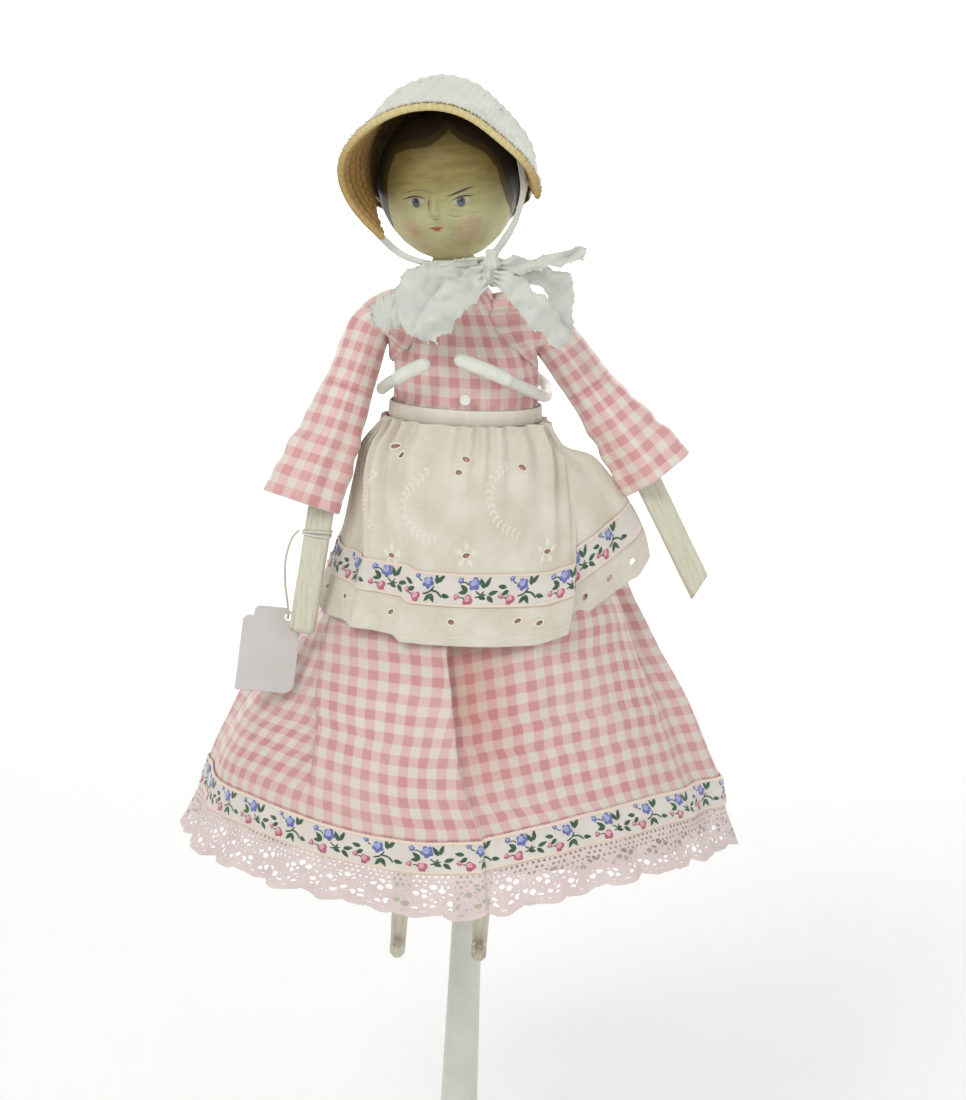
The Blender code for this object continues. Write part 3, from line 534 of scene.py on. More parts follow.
def gingham(name="gingham", painted_shade_factor=1.0):
    """Woven pink checks, worn pale in patches, with painted shade darkening and reddening the cloth beside
    and inside the front pleat.
    """
    cloth = Paint(name, 0.82, Sheen_Weight=0.12)
    uv = cloth.coordinates()
    wander = cloth.noise(uv, 0.11, 2.0)
    u, v, _ = cloth.parts(uv)
    shift = cloth.maths("MULTIPLY_ADD", wander, 0.9, -0.45)
    down = cloth.stripe(cloth.maths("ADD", u, shift), CHECK)
    across = cloth.stripe(cloth.maths("ADD", v, shift), CHECK)
    # Where one set of threads is dyed, the dyed and plain threads show side by side.
    thread = cloth.weave(uv, 0.3)
    share = cloth.times(cloth.maths("ADD", down, across), 0.5)
    grain = cloth.maths("MULTIPLY_ADD", cloth.noise(cloth.scaled(uv, (3.2, 0.25, 1)), 1.6, 2.0), 0.16, -0.08)
    share = cloth.maths("ADD", share, grain)
    share = cloth.maths("ADD", share, cloth.maths("MULTIPLY_ADD", thread, 0.05, -0.025))
    colour = cloth.ramp(share, (0.03, WHITE_CHECK), (0.5, PALE_PINK), (0.97, DEEP_PINK))
    worn = cloth.between(cloth.noise(uv, 0.035, 3.0), 0.42, 0.7)
    colour = cloth.mix(cloth.times(worn, 0.28), colour, linear(228, 206, 194))
    # This factor darkens a whole copy of the cloth as painted shade.
    colour = cloth.mix(1.0, colour, (painted_shade_factor, painted_shade_factor, painted_shade_factor), "MULTIPLY")
    # Painted shade: the stored mask darkens and reddens the checks beside and inside the front pleat.
    kept = cloth.stored("kept")
    cloth.base(cloth.mix(kept, colour, cloth.mix(1.0, colour, (0.86, 0.66, 0.6), "MULTIPLY")))
    cloth.set(Roughness=cloth.between(thread, -2.0, 4.0))
    cloth.relief(thread, 0.05, 0.5)
    return cloth.made


def cotton(name, light, dark, pitch=0.28, slubs=True):
    """Plain cotton: a fine weave with a few thicker threads, yellowed in patches."""
    cloth = Paint(name, 0.85, Sheen_Weight=0.15)
    uv = cloth.coordinates()
    thread = cloth.weave(uv, pitch)
    patches = cloth.noise(uv, 0.07, 4.0)
    colour = cloth.ramp(patches, (0.3, light), (0.72, dark))
    if slubs:
        slub = cloth.noise(cloth.scaled(uv, (0.2, 2.6, 1)), 1.2, 2.0)
        colour = cloth.mix(cloth.between(slub, 0.5, 0.9), colour, light)
    cloth.base(cloth.mix(cloth.times(thread, 0.08), colour, dark))
    crush = cloth.noise(uv, 0.35, 3.0)
    height = cloth.maths("MULTIPLY_ADD", crush, 1.2, cloth.times(thread, 0.35))
    cloth.relief(height, 0.16, 0.7)
    return cloth.made


def straw_plait():
    """Split straw: long glossy fibres along each strand."""
    straw = Paint("straw_plait", 0.45, Sheen_Weight=0.05)
    uv = straw.coordinates()
    fibre = straw.noise(straw.scaled(uv, (9.0, 0.7, 1)), 1.0, 3.0)
    tone = straw.noise(uv, 0.22, 2.0)
    age = straw.stored("age")
    colour = straw.mix(fibre, straw.tones(tone, (176, 134, 66), (206, 170, 100)), linear(126, 88, 38))
    shades = [(0.3, linear(230, 220, 168)), (0.56, linear(208, 192, 132)), (0.72, linear(158, 128, 72))]
    pale = straw.ramp(fibre, *shades)
    # The groove attribute paints the hollows between plaits and the braid's notches darker, as painted
    # shade.
    groove = straw.stored("groove")
    straw.base(straw.mix(groove, straw.mix(age, colour, pale), linear(84, 62, 30)))
    straw.set(Roughness=straw.between(fibre, -1.2, 1.6))
    straw.relief(fibre, 0.12, 0.8)
    return straw.made


def enamel():
    """White paint over metal: nearly smooth, with a faint orange peel and a few dull rubs."""
    paint = Paint("white_enamel", 0.35)
    place = paint.coordinates("Object")
    peel = paint.noise(place, 700.0, 2.0)
    rub = paint.noise(place, 60.0, 4.0)
    paint.base(paint.tones(rub, (214, 215, 206), (200, 201, 190), 0.35, 0.75))
    paint.set(Roughness=paint.between(rub, -0.6, 2.0), Coat_Weight=0.15)
    paint.relief(peel, 0.02, 0.5)
    return paint.made


def steel():
    metal = Paint("bright_steel", 0.3, Metallic=1.0)
    place = metal.coordinates("Object")
    brushed = metal.noise(metal.scaled(place, (1.0, 1.0, 14.0)), 180.0, 3.0)
    metal.base(metal.ramp(brushed, (0.3, (0.52, 0.52, 0.5)), (0.7, (0.68, 0.68, 0.66))))
    metal.set(Roughness=metal.between(brushed, -0.5, 2.4))
    metal.relief(brushed, 0.01, 0.4)
    return metal.made


def vinyl():
    """Soft white dip on the clip's tips."""
    dip = Paint("soft_vinyl", 0.32, Subsurface_Weight=0.1)
    place = dip.coordinates("Object")
    dip.base(dip.tones(dip.noise(place, 120.0, 3.0), (226, 228, 218), (212, 214, 202)))
    dip.relief(dip.noise(place, 420.0, 1.0), 0.03, 0.5)
    return dip.made


def grained(name, roughness, tones, stretch, grain, relief, **inputs):
    """A plain stuff in two tones, with the same stretched noise for its tones and its relief."""
    stuff = Paint(name, roughness, **inputs)
    noisy = stuff.noise(stuff.scaled(stuff.coordinates("Object"), stretch), *grain)
    stuff.base(stuff.tones(noisy, *tones))
    stuff.relief(noisy, *relief)
    return stuff.made


def felt():
    tones = (52, 54, 50), (88, 88, 82)
    return grained("felt", 0.97, tones, (1, 1, 0.4), (2600.0, 4.0, 0.7), (0.25, 0.9), Sheen_Weight=0.3)


def pearl():
    tones = (242, 240, 230), (222, 224, 222)
    return grained("pearl_button", 0.18, tones, (1, 1, 1), (500.0, 3.0), (0.02, 0.3), Coat_Weight=0.6)


def bare_wood():
    """Pegs and pins: plain hardwood."""
    tones = (188, 166, 118), (146, 118, 74)
    return grained("bare_wood", 0.6, tones, (1.0, 6.0, 6.0), (260.0, 4.0), (0.08, 0.7))


def card():
    """Plain pale card with a faint fibre."""
    sheet = Paint("tag_card", 0.75)
    uv = sheet.coordinates()
    fibre = sheet.noise(uv, 1.7, 4.0)
    wash = sheet.noise(uv, 0.05, 2.0)
    tint = sheet.tones(wash, (208, 203, 202), (198, 194, 189))
    sheet.base(sheet.mix(sheet.times(fibre, 0.12), tint, linear(180, 176, 172)))
    sheet.relief(fibre, 0.03, 0.4)
    return sheet.made


def thread(name, light, dark):
    """Twisted thread: slanting plies round the tube."""
    twist = Paint(name, 0.8, Sheen_Weight=0.2)
    uv = twist.coordinates()
    u, v, _ = twist.parts(uv)
    height = twist.wave(twist.times(twist.maths("ADD", v, u), 7.0))
    twist.base(twist.mix(height, dark, light))
    twist.relief(height, 0.08, 0.8)
    return twist.made


def ribbon_ground():
    """Woven ribbon: a silky rib across it, and a corded cream edge on both sides."""
    band = Paint("ribbon_ground", 0.5, Sheen_Weight=0.2)
    uv = band.coordinates()
    u, v, _ = band.parts(uv)
    height = band.wave(band.times(u, math.tau / 0.36))
    ground = band.tones(band.noise(uv, 0.12, 3.0), (226, 221, 213), (214, 207, 198))
    ground = band.mix(band.times(height, 0.22), ground, linear(198, 191, 184))
    off_middle = band.maths("ABSOLUTE", band.maths("SUBTRACT", v, RIBBON / 2))
    edge = band.between(off_middle, RIBBON / 2 - 0.75, RIBBON / 2 - 0.55)
    band.base(band.mix(edge, ground, linear(234, 214, 196)))
    band.set(Roughness=band.between(height, -1.2, 2.2))
    band.relief(height, 0.06, 0.7)
    return band.made


def silk(name, deep, bright):
    """Satin-stitch embroidery: short glossy threads laid side by side."""
    stitch = Paint(name, 0.4, Sheen_Weight=0.3)
    uv = stitch.coordinates()
    u, v, _ = stitch.parts(uv)
    height = stitch.wave(stitch.times(stitch.maths("MULTIPLY_ADD", v, 0.35, u), math.tau / 0.28))
    stitch.base(stitch.mix(stitch.between(stitch.noise(uv, 1.1, 1.0), 0.35, 0.65), deep, bright))
    stitch.relief(height, 0.05, 0.8)
    return stitch.made


def painted_wood():
    """Carved limbs: thin old white paint over pale wood, worn to yellow-brown on the edges."""
    wood = Paint("painted_wood", 0.6)
    local = wood.stored("local", "Vector")
    edge = wood.stored("edge")
    grain = wood.noise(wood.scaled(local, (1.6, 1.6, 0.09)), 1.0, 5.0, 0.65)
    fine = wood.noise(wood.scaled(local, (5.0, 5.0, 0.3)), 1.0, 3.0)
    patch = wood.noise(local, 0.16, 4.0)
    shades = [(0.3, linear(176, 160, 116)), (0.62, linear(142, 120, 76)), (0.8, linear(104, 82, 48))]
    timber = wood.ramp(grain, *shades)
    paint = wood.tones(fine, (218, 217, 200), (196, 193, 168), 0.25, 0.75)
    rubbed = wood.maths("MULTIPLY_ADD", edge, 0.55, wood.times(patch, 0.75))
    rubbed = wood.maths("ADD", rubbed, wood.times(grain, 0.55))
    bare = wood.between(rubbed, 0.86, 1.1)
    thin = wood.times(wood.between(grain, 0.5, 0.75), 0.4)
    colour = wood.mix(wood.maths("MAXIMUM", bare, thin), paint, timber)
    stain = wood.stored("stain")
    wood.base(wood.mix(stain, colour, linear(112, 52, 34)))
    wood.set(Roughness=wood.between(bare, -1.6, 3.2))
    height = wood.maths("MULTIPLY_ADD", grain, 0.8, wood.times(fine, 0.25))
    wood.relief(wood.maths("SUBTRACT", height, wood.times(bare, 0.5)), 0.16, 0.8)
    return wood.made


def painted_head():
    """Varnished paint on the turned head: hair, cheeks, a painted shadow of the bonnet over the upper face,
    and fine cracks along the grain.
    """
    skin = Paint("painted_head", 0.5, Coat_Weight=0.05, Specular_IOR_Level=0.3)
    local = skin.stored("local", "Vector")
    hair, fringe, cheek, brow = (skin.stored(n) for n in ("hair", "fringe", "cheek", "forehead"))
    grain = skin.noise(skin.scaled(local, (0.16, 0.16, 0.62)), 1.0, 4.0, 0.6)
    cracks = skin.noise(skin.scaled(local, (3.5, 3.5, 0.22)), 1.0, 3.0)
    patch = skin.noise(local, 0.13, 3.0)
    low = skin.tones(patch, (196, 193, 150), (178, 174, 126))
    high = skin.tones(grain, (150, 137, 86), (126, 112, 64))
    # Painted shadow of the bonnet: the upper face takes the darker tones.
    colour = skin.mix(brow, low, high)
    colour = skin.mix(skin.times(skin.between(grain, 0.52, 0.8), 0.34), colour, linear(128, 108, 66))
    blush = skin.times(cheek, skin.between(skin.noise(local, 0.55, 4.0), 0.2, 0.62))
    colour = skin.mix(skin.times(blush, 0.52), colour, linear(192, 134, 116))
    strokes = skin.noise(skin.scaled(local, (2.6, 2.6, 0.5)), 1.0, 3.0, 0.7)
    stipple = skin.maths("ADD", fringe, skin.maths("MULTIPLY_ADD", strokes, 0.9, -0.45))
    stipple = skin.between(stipple, 0.38, 0.66)
    brown = skin.mix(strokes, linear(48, 40, 27), linear(86, 72, 46))
    colour = skin.mix(skin.times(stipple, 0.86), colour, brown)
    dark = skin.between(skin.maths("ADD", hair, skin.maths("MULTIPLY_ADD", strokes, 0.5, -0.25)), 0.42, 0.6)
    black = skin.mix(strokes, linear(46, 43, 36), linear(70, 64, 52))
    skin.base(skin.mix(dark, colour, black))
    skin.set(Roughness=skin.between(patch, -1.3, 2.0))
    skin.relief(skin.maths("MULTIPLY_ADD", cracks, 0.45, grain), 0.09, 0.7)
    return skin.made


def brush(name, deep, bright):
    """A brush stroke of old oil paint."""
    stroke = Paint(name, 0.35, Coat_Weight=0.2)
    streak = stroke.noise(stroke.coordinates("Object"), 1500.0, 3.0)
    stroke.base(stroke.mix(streak, deep, bright))
    stroke.relief(streak, 0.02, 0.5)
    return stroke.made


WHITE_CHECK = linear(222, 216, 203)
PALE_PINK = linear(224, 185, 183)
DEEP_PINK = linear(208, 148, 147)
RIBBON = 9.6


# ---------------------------------------------------------------- the stand


def outline_of(node):
    """A turned CAD node's outer radius at each of its heights, from the top down."""
    low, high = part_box(node)
    centre = (low + high) / 2
    rings = {}
    for v in nodes[node].data.vertices:
        key = round(v.co.z / MM, 2)
        rings[key] = max(rings.get(key, 0.0), math.hypot(v.co.x - centre.x, v.co.y - centre.y) / MM)
    return sorted(((r, z) for z, r in rings.items()), key=lambda p: -p[1])


def stand():
    paint, metal, pad = enamel(), steel(), felt()
    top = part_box("post")[1].z / MM
    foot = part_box("post")[0].z / MM
    radius_top = max(r for r, z in outline_of("post") if z > top - 1)
    radius_foot = max(r for r, z in outline_of("post") if z < foot + 1)
    post = [(2.8, top - 4), (2.8, top), (radius_top, top), (radius_foot, foot), (2.3, foot), (2.3, foot + 3)]
    put(turned("white_post", rounded(post, 0.5), paint, 64), "stand", "white_enamel", "post")
    plate_low, plate_high = (c.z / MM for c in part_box("base_plate"))
    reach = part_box("base_plate")[1].x / MM
    plate = [
        (2.3, plate_high - 5),
        (2.3, plate_high),
        (9.0, plate_high),
        (10.8, plate_high - 2.4),
        (reach - 7, plate_high - 3.6),
        (reach - 1.2, plate_high - 5.4),
        (reach, plate_high - 7.4),
        (reach, plate_low + 0.6),
        (reach - 0.8, plate_low),
        (5, plate_low),
    ]
    put(turned("round_base", rounded(plate, 1.6, 6), paint, 128), "stand", "white_enamel", "base_plate")
    pad_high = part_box("base_pad")[1]
    edge = pad_high.x / MM
    disc = [(0, pad_high.z / MM), (edge, pad_high.z / MM), (edge, 0), (0, 0)]
    put(turned("felt_pad", rounded(disc, 0.5), pad, 96), "stand", "felt", "base_pad")
    low, high = (c.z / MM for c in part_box("collar"))
    ring = [(2.8, low + 8), (2.8, high), (7.5, high), (7.5, high - 3.4), (7.1, high - 4), (7.1, low + 4)]
    ring += [(7.5, low + 3.4), (7.5, low), (4.7, low), (4.7, low + 5.8)]
    put(turned("steel_collar", rounded(ring, 0.45), metal, 72), "stand", "bright_steel", "collar")
    low, high = (c.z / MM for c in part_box("rod"))
    rod = [(0, high), (2.5, high), (2.5, low), (0, low)]
    put(turned("sliding_rod", rounded(rod, 0.4), metal, 40), "doll", "bright_steel", "rod")
    thumb_screw(metal)
    clip(paint)
    repaint(nodes["base_screw"], metal)


def repaint(obj, material):
    obj.data.materials.clear()
    obj.data.materials.append(material)


def thumb_screw(metal):
    """A wing screw: shank, ribbed boss and two dished wings, along +Y from the collar."""
    low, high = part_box("thumb_screw")
    height = (low.z + high.z) / 2 / MM
    along = Matrix.Translation((0, 0, height)) @ Matrix.Rotation(math.radians(-90), 4, "X")
    shank = [(0, 3.0)]
    shank += [(1.5 - 0.16 * (i % 2), 3.0 + i * 0.22) for i in range(24)]
    boss = [(1.4, 8.3), (3.0, 8.4), (3.0, 12.4), (2.2, 13.3), (0, 13.3)]
    profile = (shank + rounded(boss, 0.5))[::-1]
    boss = turned("thumb_screw_boss", profile, metal, 48, matrix=along)
    put(boss, "clamp_screw", "bright_steel", "thumb_screw")
    for side in (-1, 1):
        rows = []
        for t in np.linspace(0, 1, 14):
            out = side * (1.6 + 5.4 * t)
            middle = 11.0 + 2.0 * t
            half = 1.5 + 1.0 * math.sin(math.pi * min(1, t * 1.15)) - 1.3 * step01(t, 0.85, 1.0)
            thick = 1.05 - 0.35 * t - 0.35 * step01(t, 0.9, 1.0)
            turn = np.linspace(0, math.tau, 20, endpoint=False)
            rows.append(np.stack([np.full(20, out), thick * np.sin(turn), middle + half * np.cos(turn)], -1))
        wing = moved(rows, along)
        name = f"thumb_screw_wing_{'right' if side < 0 else 'left'}"
        made = grid_object(name, wing, metal, wrap=True, caps=True, flip=side > 0)
        put(made, "clamp_screw", "bright_steel")


CLIP_ARMS = {
    "right": [
        (-3.4, 0, 311), (-9, 0, 311), (-17, -0.6, 311), (-27, -4, 309), (-33.5, -12.5, 307.6),
        (-34.7, -24, 307.4), (-33.4, -36, 310), (-29.2, -44.6, 314.2),
    ],
    "left": [
        (3.4, 0, 311), (9, 0, 311), (14, -2, 310.4), (17.6, -8, 309), (18.4, -16, 307.6),
        (17.8, -28, 307.8), (13.4, -39.6, 311), (5.5, -47, 315.6),
    ],
}
CLIP_TIPS = {
    "right": [(-28.6, -45.3, 314.6), (-25.4, -47.8, 317), (-20.8, -49.3, 319.6)],
    "left": [(4.9, -47.5, 315.9), (-1.8, -50.2, 319), (-9.4, -51.2, 321.8)],
}


def clip(paint):
    """The block on the rod, and the two white wire arms with dipped tips round the waist."""
    dip = vinyl()
    for side, route in CLIP_ARMS.items():
        arm = tube(f"clip_wire_{side}", spline(route, 60), 1.9, paint, 16, round_ends=False)
        put(arm, "doll", "white_enamel", f"clip_arm_{side}")
        route = spline(CLIP_TIPS[side], 24)
        swell = 2.15 + 0.12 * np.sin(np.linspace(0, math.pi, 24))
        tip = tube(f"clip_dipped_tip_{side}", route, swell, dip, 20)
        put(tip, "doll", "soft_vinyl", f"clip_tip_{side}")
    repaint(nodes["clip_block"], paint)


# ---------------------------------------------------------------- head


def head_point(azimuth, height, proud=0.0):
    """A point of the face: degrees round from the front, and mm above the head's middle."""
    a = np.radians(np.asarray(azimuth, float))
    h = np.asarray(height, float)
    u = np.clip(h / HEAD_HALF, -0.99999, 0.99999)
    reach = HEAD_RADIUS * np.sqrt(1 - u * u) * (1 + 0.05 * u)
    reach = reach + nose_relief(azimuth, h) + proud
    return leaning(np.stack([reach * np.sin(a), -reach * np.cos(a), HEAD_CENTRE + h], -1))


NOSE_AT, NOSE_TIP, NOSE_ROOT = -11.0, -7.8, -1.5


def nose_relief(azimuth, h):
    """The nose: a narrow wedge that rises from the brow to its tip, with shallow sockets beside it."""
    across = (np.asarray(azimuth, float) - NOSE_AT) * 0.38
    rise = step01(h, NOSE_TIP - 1.1, NOSE_TIP + 0.3) * (1 - step01(h, NOSE_TIP, NOSE_ROOT + 1.0))
    wide = 1.35 - 0.35 * step01(h, NOSE_TIP, NOSE_ROOT)
    wedge = 2.3 * rise * np.exp(-np.abs(across / wide) ** 2.4)
    ridge = 0.45 * bell(across, 0, 1.1) * step01(h, NOSE_TIP, NOSE_TIP + 2) * (1 - step01(h, NOSE_ROOT, 2.5))
    sockets = -0.35 * (bell(across, -6.2, 3.4) + bell(across, 8.2, 3.4)) * bell(h, -3.6, 2.6)
    return wedge + ridge + sockets


# The painted hairline, as (degrees round, mm up) points about the face, parted at the middle.
HAIRLINE = [
    (5.5, 17.4), (-5, 14.6), (-14.5, 12.8), (-33, 12.4), (-49, 11.2), (-55, 5.0), (-58, -2.4), (-66, -10.5),
    (-84, -15.5), (-120, -19), (-120, -30), (120, -30), (120, -18), (88, -14), (69, -9), (56, -5.2),
    (48, 0.2), (45, 5.1), (37, 9.9), (27, 12.0), (18, 13.4),
]
# The turned neck and trunk below the head, as (radius, height) in the trunk's frame.
TRUNK = [
    (6.9, 46.6), (6.4, 44.5), (6.3, 36), (8.2, 33.8), (12.6, 31), (15.8, 24), (15.2, 12), (12.5, 0),
    (10.5, -12), (8.8, -22), (8.4, -40.6),
]


def inside_by(x, y, outline):
    """How far points lie inside a closed outline, and below zero outside it."""
    p = np.asarray(outline, float)
    q = np.roll(p, -1, 0)
    best = np.full(np.shape(x), 1e9)
    inside = np.zeros(np.shape(x), bool)
    for (ax, ay), (bx, by) in zip(p, q):
        dx, dy = bx - ax, by - ay
        t = np.clip(((x - ax) * dx + (y - ay) * dy) / max(dx * dx + dy * dy, 1e-9), 0, 1)
        best = np.minimum(best, np.hypot(x - ax - t * dx, y - ay - t * dy))
        if ay != by:
            crosses = ((ay > y) != (by > y)) & (x < (bx - ax) * (y - ay) / (by - ay) + ax)
            inside ^= crosses
    return np.where(inside, best, -best)


def head():
    """Crown to neck in one turned piece, painted with hair and cheeks, and with the bonnet's shadow painted
    over the brow.
    """
    front = np.linspace(-78, 78, 190)
    azimuth = np.concatenate([front, np.linspace(78, 282, 70)[1:-1]])
    height = HEAD_HALF * np.cos(np.linspace(0.02, math.pi - 0.30, 190))
    aa, hh = np.meshgrid(azimuth, height, indexing="ij")
    centred = (aa + 180) % 360 - 180
    points = head_point(centred, hh).transpose(1, 0, 2)
    lower = []
    turn = np.radians(azimuth)
    for r, z in spline(TRUNK, 70):
        flat = 0.72 + 0.28 * float(step01(z, 30, 35))
        ring = np.stack([r * np.sin(turn), -r * flat * np.cos(turn), np.full(len(turn), z)], -1)
        lower.append(leaning(ring))
    points = np.concatenate([points, np.array(lower)])
    flat_x, flat_h = centred.T * DEGREE_MM, hh.T
    mask = inside_by(flat_x, flat_h, [(a * DEGREE_MM, h) for a, h in HAIRLINE])
    extra = np.zeros((len(lower), len(azimuth)))
    masks = {
        "hair": step01(-mask, 0.6, 4.2),
        "fringe": step01(-mask, -1.6, 1.4),
        # Painted shadow of the bonnet brim, darkening the face above the eyes.
        "forehead": step01(flat_h, -9.5, 4.5),
        "cheek": np.maximum(
            step01(4.6 - np.hypot(flat_x + 15.0, flat_h + 12.2), 0, 2.4),
            step01(5.9 - np.hypot(flat_x - 7.6, (flat_h + 13.2) * 1.05), 0, 2.4),
        ),
    }
    made = grid_object("gessoed_head", points, painted_head(), wrap=True, caps=True)
    store(made.data, "local", ((points - WAIST) @ rotation(LEAN, "Y")).reshape(-1, 3), "FLOAT_VECTOR")
    for name, values in masks.items():
        store(made.data, name, np.concatenate([values, extra]))
    put(made, "doll", "painted_wood", "nose", "head_and_torso")


def on_face(x, h, proud):
    """x is mm round the face from its front line."""
    return head_point(np.asarray(x) / DEGREE_MM, h, proud)


def stroke(name, route, widths, material, lift):
    """A tapering brush stroke on the face; the route is (degrees round, mm up) points."""
    count = 28
    line = spline([(a * DEGREE_MM, h) for a, h in route], count)
    wide = np.interp(np.linspace(0, 1, count), np.linspace(0, 1, len(widths)), widths) / 2
    along = unit(np.gradient(line, axis=0))
    side = np.stack([-along[:, 1], along[:, 0]], -1)
    rows = []
    for share, up in [(-1, -0.03), (-0.8, 0.6), (0, 1), (0.8, 0.6), (1, -0.03)]:
        at = line + side * (wide * share)[:, None]
        rows.append(on_face(at[:, 0], at[:, 1], lift * up))
    made = grid_object(name, np.array(rows), material)
    return put(made, "doll", "painted_wood")


def dab(name, centre, outline, material, lift, rings=5):
    """A filled patch of paint; the outline is (mm across, mm up) points about its centre."""
    shape = spline([*outline, outline[0]], 49)[:-1]
    cx, cy = centre[0] * DEGREE_MM, centre[1]
    verts, faces = [on_face(cx, cy, lift)], []
    for k in range(1, rings + 1):
        share = k / rings
        ring = on_face(cx + shape[:, 0] * share, cy + shape[:, 1] * share, lift * (1 if k < rings else -0.3))
        start = len(verts)
        verts.extend(ring)
        for i in range(48):
            j = (i + 1) % 48
            if k == 1:
                faces.append((0, start + i, start + j))
            else:
                faces.append((start - 48 + i, start + i, start + j, start - 48 + j))
    made = mesh_object(name, np.array(verts), faces, material)
    return put(made, "doll", "painted_wood")


def circle(radius, squash=1.0):
    turn = np.linspace(0, math.tau, 16, endpoint=False)
    return [(radius * math.cos(t), radius * squash * math.sin(t)) for t in turn]


def face():
    """Eyes, brows, nose line and mouth, each a few strokes of paint."""
    dark = brush("umber_paint", linear(46, 40, 34), linear(74, 64, 48))
    faint = brush("thin_umber_paint", linear(112, 98, 62), linear(136, 122, 82))
    white = brush("eye_white_paint", linear(182, 178, 148), linear(166, 160, 126))
    iris = brush("grey_blue_paint", linear(64, 69, 94), linear(96, 101, 122))
    pupil = brush("black_paint", linear(26, 26, 34), linear(48, 46, 52))
    red = brush("red_paint", linear(164, 84, 62), linear(180, 112, 86))
    crimson = brush("dark_red_paint", linear(128, 44, 34), linear(150, 62, 48))
    for side, (azimuth, height), tilt in (("right", (-27.0, -3.6), 0.06), ("left", (11.0, -4.0), 0.12)):
        almond = []
        for t in np.linspace(0, math.tau, 24, endpoint=False):
            x = 3.3 * math.cos(t)
            almond.append((x, 1.25 * math.sin(t) * (1 - 0.25 * abs(math.cos(t))) + tilt * x))
        dab(f"eye_white_{side}", (azimuth, height), almond, white, 0.03)
        dab(f"iris_{side}", (azimuth, height), circle(1.62, 0.95), iris, 0.06)
        dab(f"pupil_{side}", (azimuth + 0.3, height + 0.5), circle(0.82), pupil, 0.09)
        dab(f"eye_glint_{side}", (azimuth - 1.2, height + 0.65), circle(0.24), white, 0.12, 2)
        lower = [(azimuth - 7.5, height - 0.5), (azimuth, height - 1.6), (azimuth + 7.5, height - 0.3)]
        stroke(f"lower_lid_{side}", lower, [0.08, 0.22, 0.08], faint, 0.05)
    for name, route, widths, paint, lift in (
        ("upper_lid_right", [(-39.5, -2.7), (-31.5, -1.95), (-25, -1.75), (-18, -2.5)],
         [0.1, 0.5, 0.55, 0.15], dark, 0.05),
        ("upper_lid_left", [(3.6, -3.5), (9.5, -2.6), (14.5, -2.35), (22, -2.6)],
         [0.15, 0.5, 0.5, 0.1], dark, 0.05),
        ("brow_right", [(-41, -1.0), (-30, -0.1), (-19.5, 0.1), (-10.5, -0.9)],
         [0.12, 0.42, 0.42, 0.12], faint, 0.06),
        ("brow_left", [(-0.5, -2.2), (6, -1.5), (12.5, -0.7), (21.5, 0.3)],
         [0.15, 0.7, 0.75, 0.15], dark, 0.06),
        ("nose_line", [(-14.6, -2.4), (-15.4, -4.2), (-16.2, -6.2)], [0.12, 0.5, 0.14], dark, 0.05),
        ("nose_wing", [(-15.6, -8.6), (-12.0, -9.15), (-7.6, -8.7)], [0.1, 0.3, 0.1], faint, 0.05),
        ("cheek_line", [(-1.0, -7.7), (5.5, -8.4), (12, -8.5)], [0.08, 0.2, 0.08], faint, 0.05),
    ):
        stroke(name, route, widths, paint, lift)
    upper = [(-2.9, 0.2), (-1.5, 0.34), (-0.6, 0.6), (0, 0.38), (0.6, 0.6), (1.6, 0.4), (3.0, 0.45)]
    upper += [(1.5, -0.1), (0, -0.2), (-1.5, -0.15)]
    lower = [(-1.6, 0.1), (0, 0.0), (1.8, 0.1), (1.0, -0.6), (0, -0.78), (-0.9, -0.6)]
    dab("lower_lip", (-12.6, -12.1), lower, red, 0.05)
    dab("upper_lip", (-12.8, -11.9), upper, red, 0.06)
    stroke("lip_line", [(-19.5, -11.85), (-13, -12.15), (-5.5, -11.6)], [0.08, 0.34, 0.08], crimson, 0.1)


# ---------------------------------------------------------------- the dress


class Oval:
    """The oval sections of a worn cloth, read from its CAD node, at every height."""

    def __init__(self, node, below=(), above=()):
        # The cloth has thickness, so the outer ring of each section is the widest of those close together.
        verts = np.array([v.co for v in nodes[node].data.vertices]) / MM
        levels = np.unique(np.round(verts[:, 2], 1))
        rows = list(below)
        for group in np.split(levels, np.nonzero(np.diff(levels) > 1.4)[0] + 1):
            ring = verts[(verts[:, 2] > group[0] - 0.1) & (verts[:, 2] < group[-1] + 0.1)]
            x = ring[:, 0]
            if len(ring) >= 60:
                z = ring[np.argmax(np.abs(x - x.mean())), 2]
                rows.append((z, (x.min() + x.max()) / 2, (x.max() - x.min()) / 2, DOLL_Y - ring[:, 1].min()))
        rows = np.array([*rows, *above])
        self.z = np.arange(rows[0, 0], rows[-1, 0] + 0.5, 0.5)
        values = [np.interp(self.z, rows[:, 0], rows[:, k]) for k in (1, 2, 3)]
        self.values = smoothed(np.stack(values, 1), 5)

    def at(self, z):
        return [np.interp(z, self.z, self.values[:, k]) for k in range(3)]

    def point(self, phi, z, out=0.0):
        """phi in radians, 0 at the front and rising towards the doll's left."""
        centre, wide, deep = self.at(z)
        x = centre + (wide + out) * np.sin(phi)
        y = DOLL_Y - (deep + out) * np.cos(phi)
        return np.stack(np.broadcast_arrays(x, y, z), -1)

    def angles(self, z):
        """The length round at one height, and its angle, from the front to just past the back."""
        _, wide, deep = self.at(z)
        phi = np.linspace(0, 1.05 * math.pi, 757)
        step = np.hypot(wide * np.cos(phi), deep * np.sin(phi)) * phi[1]
        return np.concatenate([[0], np.cumsum((step[1:] + step[:-1]) / 2)]), phi


def sampler(i, j):
    """Reads fields of a grid at fractional rows i and columns j."""
    a, b = np.floor(i).astype(int), np.floor(j).astype(int)

    def read(field):
        f, g = (w.reshape(w.shape + (1,) * (field.ndim - 2)) for w in (i - a, j - b))
        low = field[a, b] * (1 - g) + field[a, b + 1] * g
        high = field[a + 1, b] * (1 - g) + field[a + 1, b + 1] * g
        return low * (1 - f) + high * f

    return read


